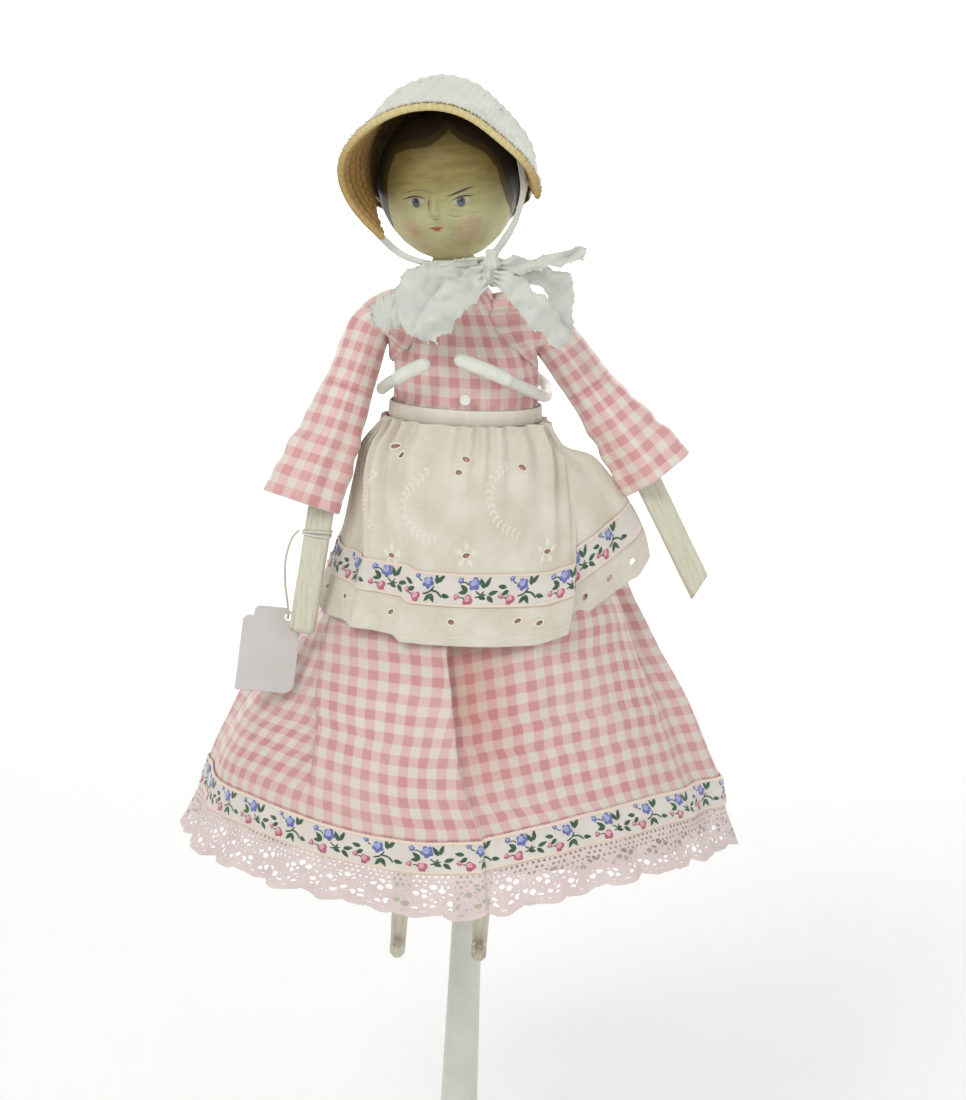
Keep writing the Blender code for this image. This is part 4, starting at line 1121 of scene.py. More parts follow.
class Surface:
    """An evenly numbered sheet of points, for laying other things on it."""

    def __init__(self, points, u, v):
        self.points, self.u, self.v = points, u, v
        du = np.gradient(points, axis=1)
        dv = np.gradient(points, axis=0)
        normal = np.cross(du, dv)
        self.normal = normal / np.maximum(np.linalg.norm(normal, axis=2, keepdims=True), 1e-9)

    def at(self, u, v, lift=0.0):
        i = np.clip(np.interp(v, self.v, np.arange(len(self.v))), 0, len(self.v) - 1.001)
        j = np.clip(np.interp(u, self.u, np.arange(len(self.u))), 0, len(self.u) - 1.001)
        read = sampler(i, j)
        return read(self.points) + read(self.normal) * np.asarray(lift)[..., None]


FLAT = 500.0


def fold_table(z, *pairs):
    """A value that changes with z, from (z, value) pairs in rising order."""
    return np.interp(z, *zip(*pairs))


def gathered(s, start, end):
    """Irregular waves along the flat cloth, fading in from start to end."""
    turn = math.tau * (s / 33.0 + 0.3 * np.sin(s / 41.0 + 1.0) + 0.12 * np.sin(s / 17.0))
    return np.sin(turn) * step01(np.abs(s), start, end) * (1 - step01(np.abs(s), 236, 250))


def fitted(s, wave, room, most):
    """The arc each step of cloth spans so that the waving cloth just fills the room, and their height."""
    slope = np.diff(wave)
    low, high = 0.0, most
    step = np.diff(s)
    for _ in range(18):
        size = (low + high) / 2
        span = np.sqrt(np.maximum(step**2 - (size * slope) ** 2, (0.2 * step) ** 2))
        if span.sum() > room:
            low = size
        else:
            high = size
    size = (low + high) / 2
    span = np.sqrt(np.maximum(step**2 - (size * slope) ** 2, (0.2 * step) ** 2))
    loose = np.abs(slope) > 1e-4
    spare = room - span[~loose].sum()
    span[loose] *= max(0.15, spare / max(span[loose].sum(), 1e-6))
    return span * (room / span.sum()), size


class Skirt:
    """The skirt as one flat piece of gingham, pleated in front and gathered behind."""

    def __init__(self):
        self.oval = Oval("skirt", below=[(146, -3.6, 89.5, 65.3)])
        self.s = np.arange(-FLAT / 2, FLAT / 2 + 0.1, 1.0)
        self.z = np.arange(300.0, 147.9, -1.5)
        rows = [self.row(z) for z in self.z]
        sizes = smoothed(np.array([r[2] for r in rows]), 4)
        rows = [self.row(z, size) for z, size in zip(self.z, sizes)]
        self.phi = np.array([r[0] for r in rows])
        self.out = np.array([r[1] for r in rows])
        wander = noises(lambda z, s: (s / 13, z / 22, 0.0), self.z, self.s)
        self.out += 0.5 * wander * step01(300 - self.z, 5, 40)[:, None]
        self.points = self.oval.point(self.phi, self.z[:, None], self.out)

    def row(self, z, sizes=None):
        s = self.s
        run, angle = self.oval.angles(z)
        centre, wide, _ = self.oval.at(z)
        slit = 4.6 * float(step01(z, 256, 266))

        def arc_of(degrees):
            a = math.radians(degrees)
            return math.copysign(np.interp(abs(a), angle, run), a)

        def back(x):
            return math.degrees(math.pi - math.asin((x - centre) / wide))

        arc_right = arc_of(back(-slit) - 360)
        arc_left = arc_of(back(slit))
        side = fold_table(z, (180, -35.5), (192.7, -38), (205.5, -41), (222, -57), (234, -69), (250, -74))
        tuck = 27.0 * float(step01(z, 180, 223))
        s_side = -42.3
        edge = fold_table(
            z, (150, 7), (179.3, 5), (185.5, 3), (190.9, 1.5), (199, 0), (209.4, -1.5), (219.6, -4),
            (232, -7.5),
        )
        top = 12.0 * (1 - float(step01(z, 186, 229)))
        under = 17.0 - 3.0 * (1 - float(step01(z, 186, 229)))
        arc_side, arc_edge = arc_of(side), arc_of(edge)
        depth = 0.25 + 0.75 * float(step01(z, 176, 196))
        lay = 2.6 * float(step01(tuck, 0, 9))

        wave = gathered(s, 96, 126)
        wave_left = gathered(s, 84, 112)
        first = s <= s_side - tuck
        last = s >= under
        given = (None, None) if sizes is None else sizes
        span_a, size_a = self.side_run(s[first], wave[first], arc_side - arc_right, given[0])
        span_c, size_c = self.side_run(s[last], wave_left[last], arc_left - arc_edge, given[1])
        knots = [(s_side - tuck, arc_side, -lay)]
        if tuck > 0.5:
            knots.append((s_side - tuck / 2, arc_side + tuck / 2, -lay / 2))
        knots.append((s_side, arc_side, 0.0))
        knots.append((top - 13, arc_edge - (arc_edge - arc_side) * 13 / (top - s_side), 0.0))
        knots.append((top, arc_edge, 1.9 * depth))
        hidden = under - top
        knots.append(((top + under) / 2, arc_edge - hidden / 2, -0.2 * depth))
        knots.append((under, arc_edge, -2.6 * depth))
        knots = np.array(knots)
        arc = np.interp(s, knots[:, 0], knots[:, 1])
        out = np.interp(s, knots[:, 0], knots[:, 2])
        arc[first] = arc_side - np.concatenate([np.cumsum(span_a[::-1])[::-1], [0]])
        arc[last] = arc_edge + np.concatenate([[0], np.cumsum(span_c)])
        out[first] = -lay * (1 - step01(s_side - tuck - s[first], 4, 34)) + size_a * wave[first]
        out[last] = -2.6 * depth * (1 - step01(s[last] - under, 2, 26)) + size_c * wave_left[last]
        crease = bell(s, 42, 4) * float(step01(z, 204, 214)) * 1.5
        out = out + crease
        arc, out = smoothed(arc, 0.9), smoothed(out, 0.9)
        arc[0], arc[-1] = arc_right, arc_left
        even = np.interp(s, [s[0], s[-1]], [arc_right, arc_left])
        top_gathers = np.sin(math.tau * (s / 9.3 + 0.25 * np.sin(s / 23)))
        top_gathers = top_gathers * 0.75 * float(step01(z, 262, 296))
        share = float(step01(z, 236, 264))
        settled = out * (1 - 0.85 * float(step01(z, 266, 297)))
        flat_front = settled * step01(np.abs(s), 90, 130)
        arc = arc * (1 - share) + even * share
        out = out * (1 - share) + (flat_front + top_gathers) * share
        phi = np.interp(np.abs(arc), run, angle) * np.sign(arc)
        return phi, out, (size_a, size_c)

    @staticmethod
    def side_run(s, wave, room, size):
        if size is None:
            return fitted(s, wave, room, 6.2)
        slope = np.diff(wave)
        step = np.diff(s)
        span = np.sqrt(np.maximum(step**2 - (size * slope) ** 2, (0.2 * step) ** 2))
        loose = np.abs(slope) > 1e-3
        spare = room - span[~loose].sum()
        if spare > 0.15 * span[loose].sum():
            span[loose] *= spare / span[loose].sum()
        return span * (room / span.sum()), size

    def at(self, s, z, lift=0.0):
        """Points of the cloth by flat place and height, lifted off it along the oval."""
        i = np.interp(-np.asarray(z, float), -self.z, np.arange(len(self.z)))
        i = np.clip(i, 0, len(self.z) - 1.001)
        j = np.clip(np.asarray(s, float) - self.s[0], 0, len(self.s) - 1.001)
        read = sampler(i, j)
        return self.oval.point(read(self.phi), np.asarray(z, float), read(self.out) + lift)

    def hem_phi(self, s):
        """Degrees round from the front at the hem, by flat place."""
        row = int(np.argmin(np.abs(self.z - 172.0)))
        return np.degrees(np.interp(s, self.s, self.phi[row]))


def hem_heights(phi):
    """The ribbon's lower edge, its upper edge, and the lace's drop, round the skirt."""
    foot = fold_table(
        phi, (-180, 170), (-110, 169.5), (-76, 170), (-50, 172.2), (-34, 170.4), (-20.5, 168.8),
        (-7.5, 168.2), (4.5, 169.6), (17, 174.0), (31, 177.2), (49, 179), (81, 176.0), (110, 173),
        (180, 170),
    )
    drop = fold_table(
        phi, (-180, 14), (-80, 14.6), (-57, 13.6), (-34, 12.4), (-24, 9.5), (-12, 12), (-5, 13.2), (3, 14.2),
        (11, 14.4), (26, 12.6), (35, 11.4), (54, 14.8), (81, 15.2), (180, 14),
    )
    return smoothed(foot, 5), smoothed(drop, 5)


# The rows of points across the flowered ribbon, close together on its corded edges.
BAND_V = np.array([
    0, 0.12, 0.3, 0.5, 0.7, 0.9, 1.2, 2.4, 3.6, 4.8, 6.0, 7.2, 8.4, 8.7, 8.9, 9.1, 9.3, 9.48, RIBBON,
])
BAND_CORDS = bell(BAND_V, 0.5, 0.34) + bell(BAND_V, 9.1, 0.34)
SPRAY_GAP = 14.8


def dress(skirt):
    # The skirt's gingham is a copy darkened to 0.9 as painted shade.
    cloth = gingham("skirt_gingham", 0.9)
    s = skirt.s
    foot, drop = hem_heights(skirt.hem_phi(s))
    rows = np.linspace(0, 1, 92)
    z = 299.5 + (foot - 299.5)[None, :] * rows[:, None] ** 0.97
    points = skirt.at(np.broadcast_to(s, z.shape), z)
    rise = np.linalg.norm(np.diff(points[::-1], axis=0), axis=2)
    height = np.concatenate([np.zeros((1, len(s))), np.cumsum(rise, 0)])[::-1]
    height = smoothed(height.T, 2.0).T
    uv = np.stack([np.broadcast_to(s, z.shape), height + 1.4], -1)
    made = grid_object("gingham_skirt", points, cloth, uv)
    # Painted shade beside and inside the front pleat, for the gingham to read.
    beside = step01(s, 14, 18) * (1 - step01(s, 21, 44))
    kept = beside[None, :] * step01(z, 182, 216) * 0.9 + 0.35 * bell(s, 4, 9)[None, :] * step01(z, 212, 238)
    store(made.data, "kept", kept)
    thicken(made, 0.35)
    put(made, "doll", "gingham", "skirt")

    fine = np.arange(-FLAT / 2, FLAT / 2 + 0.01, 0.5)
    low = np.interp(fine, s, foot)
    band_z = low[:, None] - 0.7 + BAND_V[None, :] * 0.985
    picot = 0.22 * np.abs(np.sin(math.pi * fine / 1.5))
    band_z[:, 0] -= picot
    band_z[:, -1] += picot
    lift = 0.62 + np.broadcast_to(0.42 * BAND_CORDS, band_z.shape)
    ground = skirt.at(np.repeat(fine[:, None], len(BAND_V), 1), band_z, lift)
    ground = ground.transpose(1, 0, 2)[::-1]
    uv = uv_grid(fine, BAND_V[::-1])
    ribbon = thicken(grid_object("hem_flower_ribbon", ground, ribbon_ground(), uv), 0.25)
    put(ribbon, "doll", "floral_ribbon", "hem_ribbon")
    surface = Surface(ground[::-1], fine, BAND_V)
    centres = [(x, RIBBON / 2) for x in np.arange(-FLAT / 2 + 9, FLAT / 2 - 6, SPRAY_GAP)]
    flowers = embroidery("hem", surface, centres)
    trim = lace(skirt, s, foot, drop)


LACE_WIDE = 15.5


def lace(skirt, s, foot, drop):
    """Gathered lace under the ribbon: a close heading, flowers on net, and a corded scalloped edge."""
    scallop = FLAT / 41

    def keep(u, v):
        wave = np.abs(np.sin(math.pi * u / scallop))
        edge = LACE_WIDE - 1.9 + 1.4 * wave**0.7
        fringe = 0.42 * np.abs(np.sin(math.pi * u / 0.95))
        border = edge + fringe - v
        rim = 0.75 - np.abs(v - edge + 0.55)
        second = 0.42 - np.abs(v - edge + 2.1)
        cordline = 0.42 - np.abs(v - 7.4 - 1.7 * np.sin(math.tau * u / scallop + 1.2))
        second_cord = 0.3 - np.abs(v - 8.6 + 1.9 * np.sin(math.tau * u / scallop + 0.4))
        heading = np.where(v < 1.5, 1.0, -1.0)
        head_holes = 0.4 - np.hypot((u + 0.9) % 1.8 - 0.9, v - 0.9)
        net_u = np.cos(math.tau * (u / 2.3))
        net_v = np.cos(math.tau * (u / 4.6 + v / 2.2))
        net_w = np.cos(math.tau * (u / 4.6 - v / 2.2))
        net = (net_u + net_v + net_w) * -0.55 - 0.36
        close = 0.47 - np.hypot((u + 0.85 * np.floor(v / 1.5)) % 1.7 - 0.85, v % 1.5 - 0.75)
        solid_net = np.where(v < 5.6 + 0.9 * np.sin(math.tau * u / scallop), -close, net)
        flower = -np.ones_like(u)
        for shift, mid, size in ((0.5, 10.2, 2.2), (0.0, 11.4, 1.4), (0.25, 3.2, 1.0), (0.75, 3.2, 1.0)):
            du = (u - shift * scallop + scallop / 2) % scallop - scallop / 2
            dv = v - mid
            reach = np.hypot(du, dv)
            turn = np.arctan2(dv, du)
            petal = size * (0.55 + 0.45 * np.abs(np.cos(2.5 * turn + 0.4))) - reach
            eye = reach - 0.36
            flower = np.maximum(flower, np.minimum(petal, eye) * 0.9)
        for side in (-1, 1):
            du = (u + side * 3.9) % scallop - scallop / 2
            leaf = 1.0 - np.hypot(du / 2.1, (v - 8.4 - side * 0.5 * du) / 0.7)
            flower = np.maximum(flower, leaf)
        cordline = np.maximum(cordline, second_cord)
        body = np.maximum.reduce([rim, second, cordline, heading, solid_net, flower])
        body = np.where(v < 1.5, -head_holes, body)
        return np.minimum(border, body)

    flare = np.sqrt(np.maximum(LACE_WIDE**2 - drop**2, 0))

    def place(u, v):
        low = np.interp(u, s, foot)
        share = v / LACE_WIDE
        down = np.interp(u, s, drop) * share
        ripple = 1.3 * np.sin(u / 2.9 + 2 * np.sin(u / 31)) * share**1.3 + 0.5 * np.sin(u / 1.27) * share**2
        out = 0.15 + np.interp(u, s, flare) * 0.75 * share**1.2 + ripple + 0.4 * share
        return skirt.at(u, low + 0.4 - down, out)

    columns = np.arange(-FLAT / 2, FLAT / 2 + 0.01, 0.5)
    rows = np.arange(0, LACE_WIDE + 0.7, 0.45)
    made = cut_sheet("hem_scalloped_lace", columns, rows, keep, place, lace_thread())
    thicken(made, 0.22)
    return put(made, "doll", "pink_lace", "hem_lace")


def lace_thread():
    """Pale pink cotton lace, its threads standing proud as fine cords."""
    cloth = Paint("pink_lace", 0.8, Sheen_Weight=0.2)
    uv = cloth.coordinates()
    twist = cloth.weave(cloth.scaled(uv, (1.0, 0.7, 1)), 0.42)
    tint = cloth.noise(uv, 0.09, 3.0)
    colour = cloth.tones(tint, (228, 214, 210), (216, 197, 195))
    cloth.base(cloth.mix(cloth.times(twist, 0.2), colour, linear(200, 172, 172)))
    cloth.relief(twist, 0.1, 0.8)
    return cloth.made


# ---------------------------------------------------------------- embroidered flowers


def joined(name, parts, material):
    """Several shapes as one object; one without flat places of its own takes x and z for them."""
    verts, faces, flat = [], [], []
    for points, found, *places in parts:
        start = len(verts)
        verts.extend(points)
        faces.extend([tuple(start + k for k in f) for f in found])
        flat.extend(places[0] if places else np.asarray(points)[:, [0, 2]])
    return mesh_object(name, np.array(verts), faces, material, np.array(flat))


def patch(surface, u, v, outline, lift, spread=0.05, grown=1.0):
    """A small domed patch of stitches on a surface, with points, faces and flat places."""
    shape = np.array(outline, float)
    middle = shape.mean(0)
    flat = [middle]
    lifts = [lift]
    for share, up in ((0.55, 0.9 * lift), (1.0, spread)):
        flat.extend(middle + (shape - middle) * share)
        lifts.extend([up] * len(shape))
    flat = np.array(flat) + (u, v)
    count = len(shape)
    faces = []
    for i in range(count):
        j = (i + 1) % count
        faces.append((0, 1 + i, 1 + j))
        faces.append((1 + i, 1 + count + i, 1 + count + j, 1 + j))
    return surface.at(flat[:, 0] * grown, flat[:, 1] * grown, np.array(lifts)), faces, flat


def petal_shape(radius, count, phase, deep=0.3, steps=30):
    turn = np.linspace(0, math.tau, steps, endpoint=False)
    reach = radius * (1 - deep + deep * np.abs(np.cos(count / 2 * turn + phase)))
    return np.stack([reach * np.cos(turn), reach * np.sin(turn)], -1)


def leaf_shape(length, width, angle):
    t = np.linspace(0, 1, 9)
    half = width / 2 * np.sin(math.pi * t**0.8) ** 0.9
    top = np.stack([t * length, half], -1)
    low = np.stack([t * length, -half], -1)[::-1][1:-1]
    c, d = math.cos(angle), math.sin(angle)
    return np.vstack([top, low]) @ np.array([[c, d], [-d, c]])


def stem_shape(start, end, bow):
    width = 0.52
    t = np.linspace(0, 1, 7)[:, None]
    a, b = np.array(start, float), np.array(end, float)
    side = np.array([a[1] - b[1], b[0] - a[0]]) / max(np.linalg.norm(b - a), 1e-6)
    line = a + (b - a) * t + side * (bow * 4 * t * (1 - t))
    return np.vstack([line + side * width / 2, (line - side * width / 2)[::-1]])


# The sprays below are drawn at about nine tenths of their size on the ribbon.
GROWN = 1.13
# Places and sizes in mm from a spray's middle: (across, up, radius), (across, up, length, angle) for a leaf,
# and (start, end, bow) for a stem.
SPRAYS = [
    {
        "blue_big": [(0.2, 1.7, 2.0)],
        "blue_bud": [(-3.7, 2.5, 1.0)],
        "rose_big": [(-0.9, -2.4, 1.65)],
        "rose_bud": [(-4.2, -1.7, 0.95)],
        "leaf": [(-1.2, -0.3, 2.4, 2.5), (-1.2, -0.2, 2.2, 3.3), (3.2, 0.6, 2.6, 1.2), (3.2, 0.4, 2.6, 2.1),
                 (4.2, -1.0, 2.4, 0.3), (4.0, -1.2, 2.3, -0.7), (1.6, -1.2, 2.0, -0.4)],
        "stem": [((-3.4, 2.2), (-1.0, 1.2), 0.4), ((0.2, 0.2), (4.4, -1.1), -0.6),
                 ((-3.6, -1.9), (-1.6, -2.4), 0.4), ((0.4, -2.0), (3.4, 0.4), -0.7)],
    },
    {
        "blue_big": [(0.6, 1.5, 1.9)],
        "blue_bud": [(-2.6, 3.1, 0.9)],
        "rose_big": [(-2.4, -2.3, 1.6)],
        "rose_bud": [(-5.1, -1.4, 0.9)],
        "leaf": [(-3.6, 0.8, 2.2, 3.0), (-3.0, 0.2, 2.0, 3.8), (3.0, 1.4, 2.5, 0.9), (3.2, 1.0, 2.3, 1.8),
                 (1.4, -1.0, 2.3, -1.0), (1.8, -1.2, 2.1, -2.2), (4.6, -1.4, 2.1, -0.2)],
        "stem": [((-2.4, 2.7), (-0.9, 1.8), -0.3), ((0.6, -0.2), (5.6, -2.6), 0.9),
                 ((-4.6, -1.8), (-3.2, -2.3), 0.3), ((-1.2, -1.8), (3.0, 1.2), -0.8)],
    },
]


def embroidery(name, surface, centres):
    """Sprays of blue flowers, roses and leaves along a ribbon, in two arrangements by turns."""
    parts = {k: [] for k in ("blue_deep", "blue_pale", "rose_deep", "rose_pale", "leaves")}
    for number, (u, v) in enumerate(centres):
        spray = SPRAYS[number % 2]
        u, v = u / GROWN, v / GROWN
        jitter = (hashed(number, 3) - 0.5) * 0.5
        for kind, deep, pale in (("blue", "blue_deep", "blue_pale"), ("rose", "rose_deep", "rose_pale")):
            for size in ("big", "bud"):
                for x, y, r in spray[f"{kind}_{size}"]:
                    phase = hashed(number, round(x * 10)) * 3
                    petals = petal_shape(r, 5 if kind == "blue" else 3, phase)
                    parts[deep].append(patch(surface, u + x + jitter, v + y, petals, 0.34, grown=GROWN))
                    inner = petal_shape(r * 0.5, 3, phase + 1, 0.2, 14) + (-0.12 * r, 0.2 * r)
                    parts[pale].append(patch(surface, u + x + jitter, v + y, inner, 0.5, 0.3, GROWN))
        for x, y, length, angle in spray["leaf"]:
            leaf = leaf_shape(length * 1.35, 1.4, angle)
            parts["leaves"].append(patch(surface, u + x + jitter, v + y, leaf, 0.3, grown=GROWN))
        for start, end, bow in spray["stem"]:
            stem = stem_shape(start, end, bow)
            parts["leaves"].append(patch(surface, u + jitter, v, stem, 0.16, grown=GROWN))
    made = [joined(f"{name}_stitched_{kind}", found, SILKS[kind]) for kind, found in parts.items()]
    return [put(piece, "doll", "floral_ribbon") for piece in made]


SILKS = {
    "blue_deep": silk("blue_silk", linear(90, 94, 160), linear(112, 118, 180)),
    "blue_pale": silk("pale_blue_silk", linear(142, 154, 204), linear(166, 178, 216)),
    "rose_deep": silk("rose_silk", linear(168, 80, 100), linear(190, 108, 126)),
    "rose_pale": silk("pale_rose_silk", linear(212, 146, 160), linear(224, 174, 184)),
    "leaves": silk("green_silk", linear(30, 68, 44), linear(54, 96, 64)),
}


def petticoat(skirt, cream):
    """A plain gathered underskirt, slit up the back round the rod."""
    flat = 380.0
    s = np.linspace(-flat / 2, flat / 2, 301)
    z = np.linspace(287.0, 167.0, 62)
    points = []
    for level in z:
        run, angle = skirt.oval.angles(level)
        centre, wide, _ = skirt.oval.at(level)
        crowd = float(bell(level, 226, 34))
        inset = 3.6 + 5.4 * crowd - 0.4 * float(step01(level, 262, 286))
        slit = 4.9 * float(step01(level, 228, 242))
        left = np.interp(math.pi - math.asin((slit - centre) / wide), angle, run)
        right = np.interp(math.pi + math.asin((-slit - centre) / wide), angle, run)
        arc = np.interp(s, [s[0], s[-1]], [-right, left])
        out = np.sin(math.tau * (s / 21 + 0.3 * np.sin(s / 29)))
        out = out * (0.9 + 0.5 * float(step01(250 - level, 0, 60)))
        out = out * (1 - step01(np.abs(s), flat / 2 - 16, flat / 2))
        phi = np.interp(np.abs(arc), run, angle) * np.sign(arc)
        # It stays inside the deepest fold of the skirt that lies near each place.
        near = int(np.argmin(np.abs(skirt.z - level)))
        beside = np.abs(skirt.phi[near][None, :] - phi[:, None]) < 0.055
        lowest = np.where(beside, skirt.out[near][None, :], 9.0).min(1)
        points.append(skirt.oval.point(phi, level, np.minimum(out - inset, smoothed(lowest, 1.5) - 1.3)))
    points = np.array(points)
    uv = uv_grid(s, (z - 167) * 1.06)
    made = thicken(grid_object("white_petticoat", points, cream, uv), 0.35)
    put(made, "doll", "eyelet_cotton", "petticoat")


# ---------------------------------------------------------------- the apron


def fold_left(z):
    return fold_table(z, (236, -44), (257, -47.5), (269, -53), (281, -59), (293, -61), (302, -54))


def fold_right(z):
    return fold_table(z, (236, 33), (239, 34), (254, 44), (271, 57.5), (282.5, 66.5), (294, 76), (301, 72))


def outer_left(z):
    return fold_table(z, (232, -66), (237, -70), (244, -84), (270, -85), (290, -83), (298, -66), (302, -55))


APRON_WIDE, APRON_LONG = 128.0, 64.0
APRON_FOLD = 0.31


def apron_surface(skirt):
    """The apron's front as a surface by flat place: u from its right edge, v up from its hem."""
    u = np.arange(0, APRON_WIDE + 0.1, 0.5)
    v = np.arange(0, APRON_LONG + 0.1, 0.5)
    share = u / APRON_WIDE
    foot = smoothed(fold_table(
        share, (0, 239.5), (0.06, 237.4), (0.3, 236.8), (0.47, 236.6), (0.485, 234.6), (0.9, 235.6),
        (1.0, 238.6),
    ), 2)
    z = foot[None, :] + (300.4 - foot[None, :]) * (v / APRON_LONG)[:, None]
    left, fold, right = outer_left(z), fold_left(z), fold_right(z)
    phi = np.where(
        share < APRON_FOLD,
        left + (fold - left) * share / APRON_FOLD,
        fold + (right - fold) * (share - APRON_FOLD) / (1 - APRON_FOLD),
    )
    phi = smoothed(phi.T, 1.2).T
    gathers = np.sin(math.tau * (share * 15 + 0.35 * np.sin(share * 19)))
    out = 2.7 + 1.5 * step01(262 - z, 0, 24) + gathers * 0.95 * step01(z, 270, 297)
    out += 0.55 * gathers * step01(z, 246, 280) * step01(np.abs(share - 0.62), 0.06, 0.3)
    crease = bell(share, APRON_FOLD + 0.01, 0.035)
    out += 1.9 * crease * (1 - step01(z, 286, 299))
    out -= 1.2 * bell(share, APRON_FOLD - 0.10, 0.07) * (1 - step01(z, 288, 299))
    out += 1.1 * bell(share, 0.99, 0.05) * (1 - step01(z, 288, 299))
    out += 0.9 * bell(share, 0.475, 0.02) * (1 - step01(z, 238, 262))
    out += 0.55 * noises(lambda b, a: (a / 15, b / 17, 7.0), v, u)
    return Surface(skirt.oval.point(np.radians(phi), z, out), u, v), phi, z


EYELETS = [
    (-65.5, 291, 0.4), (-42.5, 292.4, 0.2), (-38.5, 289.7, 0.5), (1, 290.6, -0.3), (-3, 286.5, 0.1),
    (32.5, 288.3, -0.4), (-35, 259.8, 0.0), (-2, 262.3, 0.2), (34.5, 262.9, 0.0), (-55.5, 243.8, 0.2),
    (-30, 243.2, 0.3), (-7.5, 242.2, -0.2), (16, 243.2, 0.1), (23.5, 242.4, 0.0), (-70, 244.6, 0.1),
]
VINES = [
    [(-20, 286.4), (-27, 282), (-32, 277), (-29.5, 270.9), (-22, 267.2), (-16, 266.1)],
    [(24.5, 289), (17, 286), (12, 281.5), (12.5, 275), (16, 270.6), (22, 268.4)],
    [(-52, 284), (-56, 279), (-55, 272.5), (-49, 268)],
]


def eyelet_apron(skirt, cream, satin, tied):
    surface, phi, height = apron_surface(skirt)
    along, up = np.meshgrid(surface.u, surface.v)

    def flat_place(degrees, z):
        gap = (phi - degrees) ** 2 * 0.5 + (height - z) ** 2
        best = np.unravel_index(np.argmin(gap), gap.shape)
        return along[best], up[best]

    holes = [(*flat_place(a, z), tilt) for a, z, tilt in EYELETS]

    def hole_distance(u, v):
        best = np.full(u.shape, 9.0)
        for a, b, tilt in holes:
            du, dv = u - a, v - b
            x = (du * math.cos(tilt) + dv * math.sin(tilt)) / 1.4
            y = (dv * math.cos(tilt) - du * math.sin(tilt)) / 0.75
            best = np.minimum(best, np.hypot(x, y) - 1)
        return best

    def keep(u, v):
        # The hem's lower corner at the doll's right is turned off, and the top corner slopes to the band.
        corner = (u + (v - 1.0)) * 0.7 + 1.0
        edge = np.minimum.reduce([u + 0.05, APRON_WIDE + 0.05 - u, v + 0.05, APRON_LONG + 0.05 - v, corner])
        return np.minimum(edge, hole_distance(u, v))

    made = cut_sheet("eyelet_apron_front", surface.u, surface.v, keep, surface.at, cream)
    thicken(made, 0.35)
    put(made, "doll", "eyelet_cotton", "apron")
    # Under each eyelet lies a disc coloured as the pink cloth below in shade: painted shade for what shows
    # through the hole.
    rims, seen, stitches = [], [], []
    for a, b, tilt in holes:
        turn = np.linspace(0, math.tau, 26)[:-1]
        x, y = 1.62 * np.cos(turn), 0.97 * np.sin(turn)
        c, d = math.cos(tilt), math.sin(tilt)
        u = np.clip(a + x * c - y * d, 0.3, APRON_WIDE - 0.3)
        v = np.clip(b + x * d + y * c, 0.3, APRON_LONG - 0.3)
        rims.append(loop_mesh(surface.at(u, v, np.full(25, 0.22)), 0.34))
        shape = np.array(circle(1.0)) * (1.75, 1.05) @ np.array([[c, d], [-d, c]])
        seen.append(patch(surface, a, b, shape, -0.3, -0.3))
    behind = cotton("eyelet_painted_shade_cloth", linear(190, 150, 130), linear(172, 128, 106), slubs=False)
    for number in (6, 7, 8):
        a, b, _ = holes[number]
        for k in range(5):
            angle = math.tau * k / 5 + 0.3
            petal = leaf_shape(3.0, 1.9, angle) + (1.5 * math.cos(angle), 1.2 * math.sin(angle))
            stitches.append(patch(surface, a, b, petal, 0.5, 0.18))
    for route in VINES:
        flat = spline([flat_place(*p) for p in route], 15)
        slope = np.gradient(flat, axis=0)
        for k in range(15):
            heading = math.atan2(slope[k, 1], slope[k, 0])
            for side in (-1, 1):
                leaf = leaf_shape(2.3, 1.05, heading + side * 0.85)
                stitches.append(patch(surface, *flat[k], leaf, 0.46, 0.16))
    extras = [joined("eyelet_rims", rims, satin), joined("eyelet_painted_shade_discs", seen, behind)]
    extras.append(joined("apron_white_work", stitches, satin))
    band, flowers = apron_ribbon(surface, 11.5, 0.35, APRON_WIDE - 0.4, "front", 5.5)
    hem = surface.at(np.linspace(4, APRON_WIDE - 0.5, 200), np.full(200, 2.6), np.full(200, 0.16))
    extras.append(tube("apron_hem_stitching", hem, 0.16, satin, 6))
    extras = [*(put(piece, "doll", "eyelet_cotton") for piece in extras), band, *flowers]
    apron_side(skirt, cream)


def loop_mesh(ring, radius, sides=7):
    """Points and faces of a closed round cord along a ring of points."""
    p = np.asarray(ring, float)
    tangent = unit(np.roll(p, -1, 0) - np.roll(p, 1, 0))
    outwards = p - p.mean(0)
    outwards = unit(outwards - tangent * (outwards * tangent).sum(1)[:, None])
    other = np.cross(tangent, outwards)
    turn = np.linspace(0, math.tau, sides, endpoint=False)[None, :, None]
    verts = p[:, None] + radius * (outwards[:, None] * np.cos(turn) + other[:, None] * np.sin(turn))
    count = len(p)
    faces = []
    for i in range(count):
        for j in range(sides):
            k, l = (i + 1) % count, (j + 1) % sides
            faces.append((i * sides + j, k * sides + j, k * sides + l, i * sides + l))
    return verts.reshape(-1, 3), faces


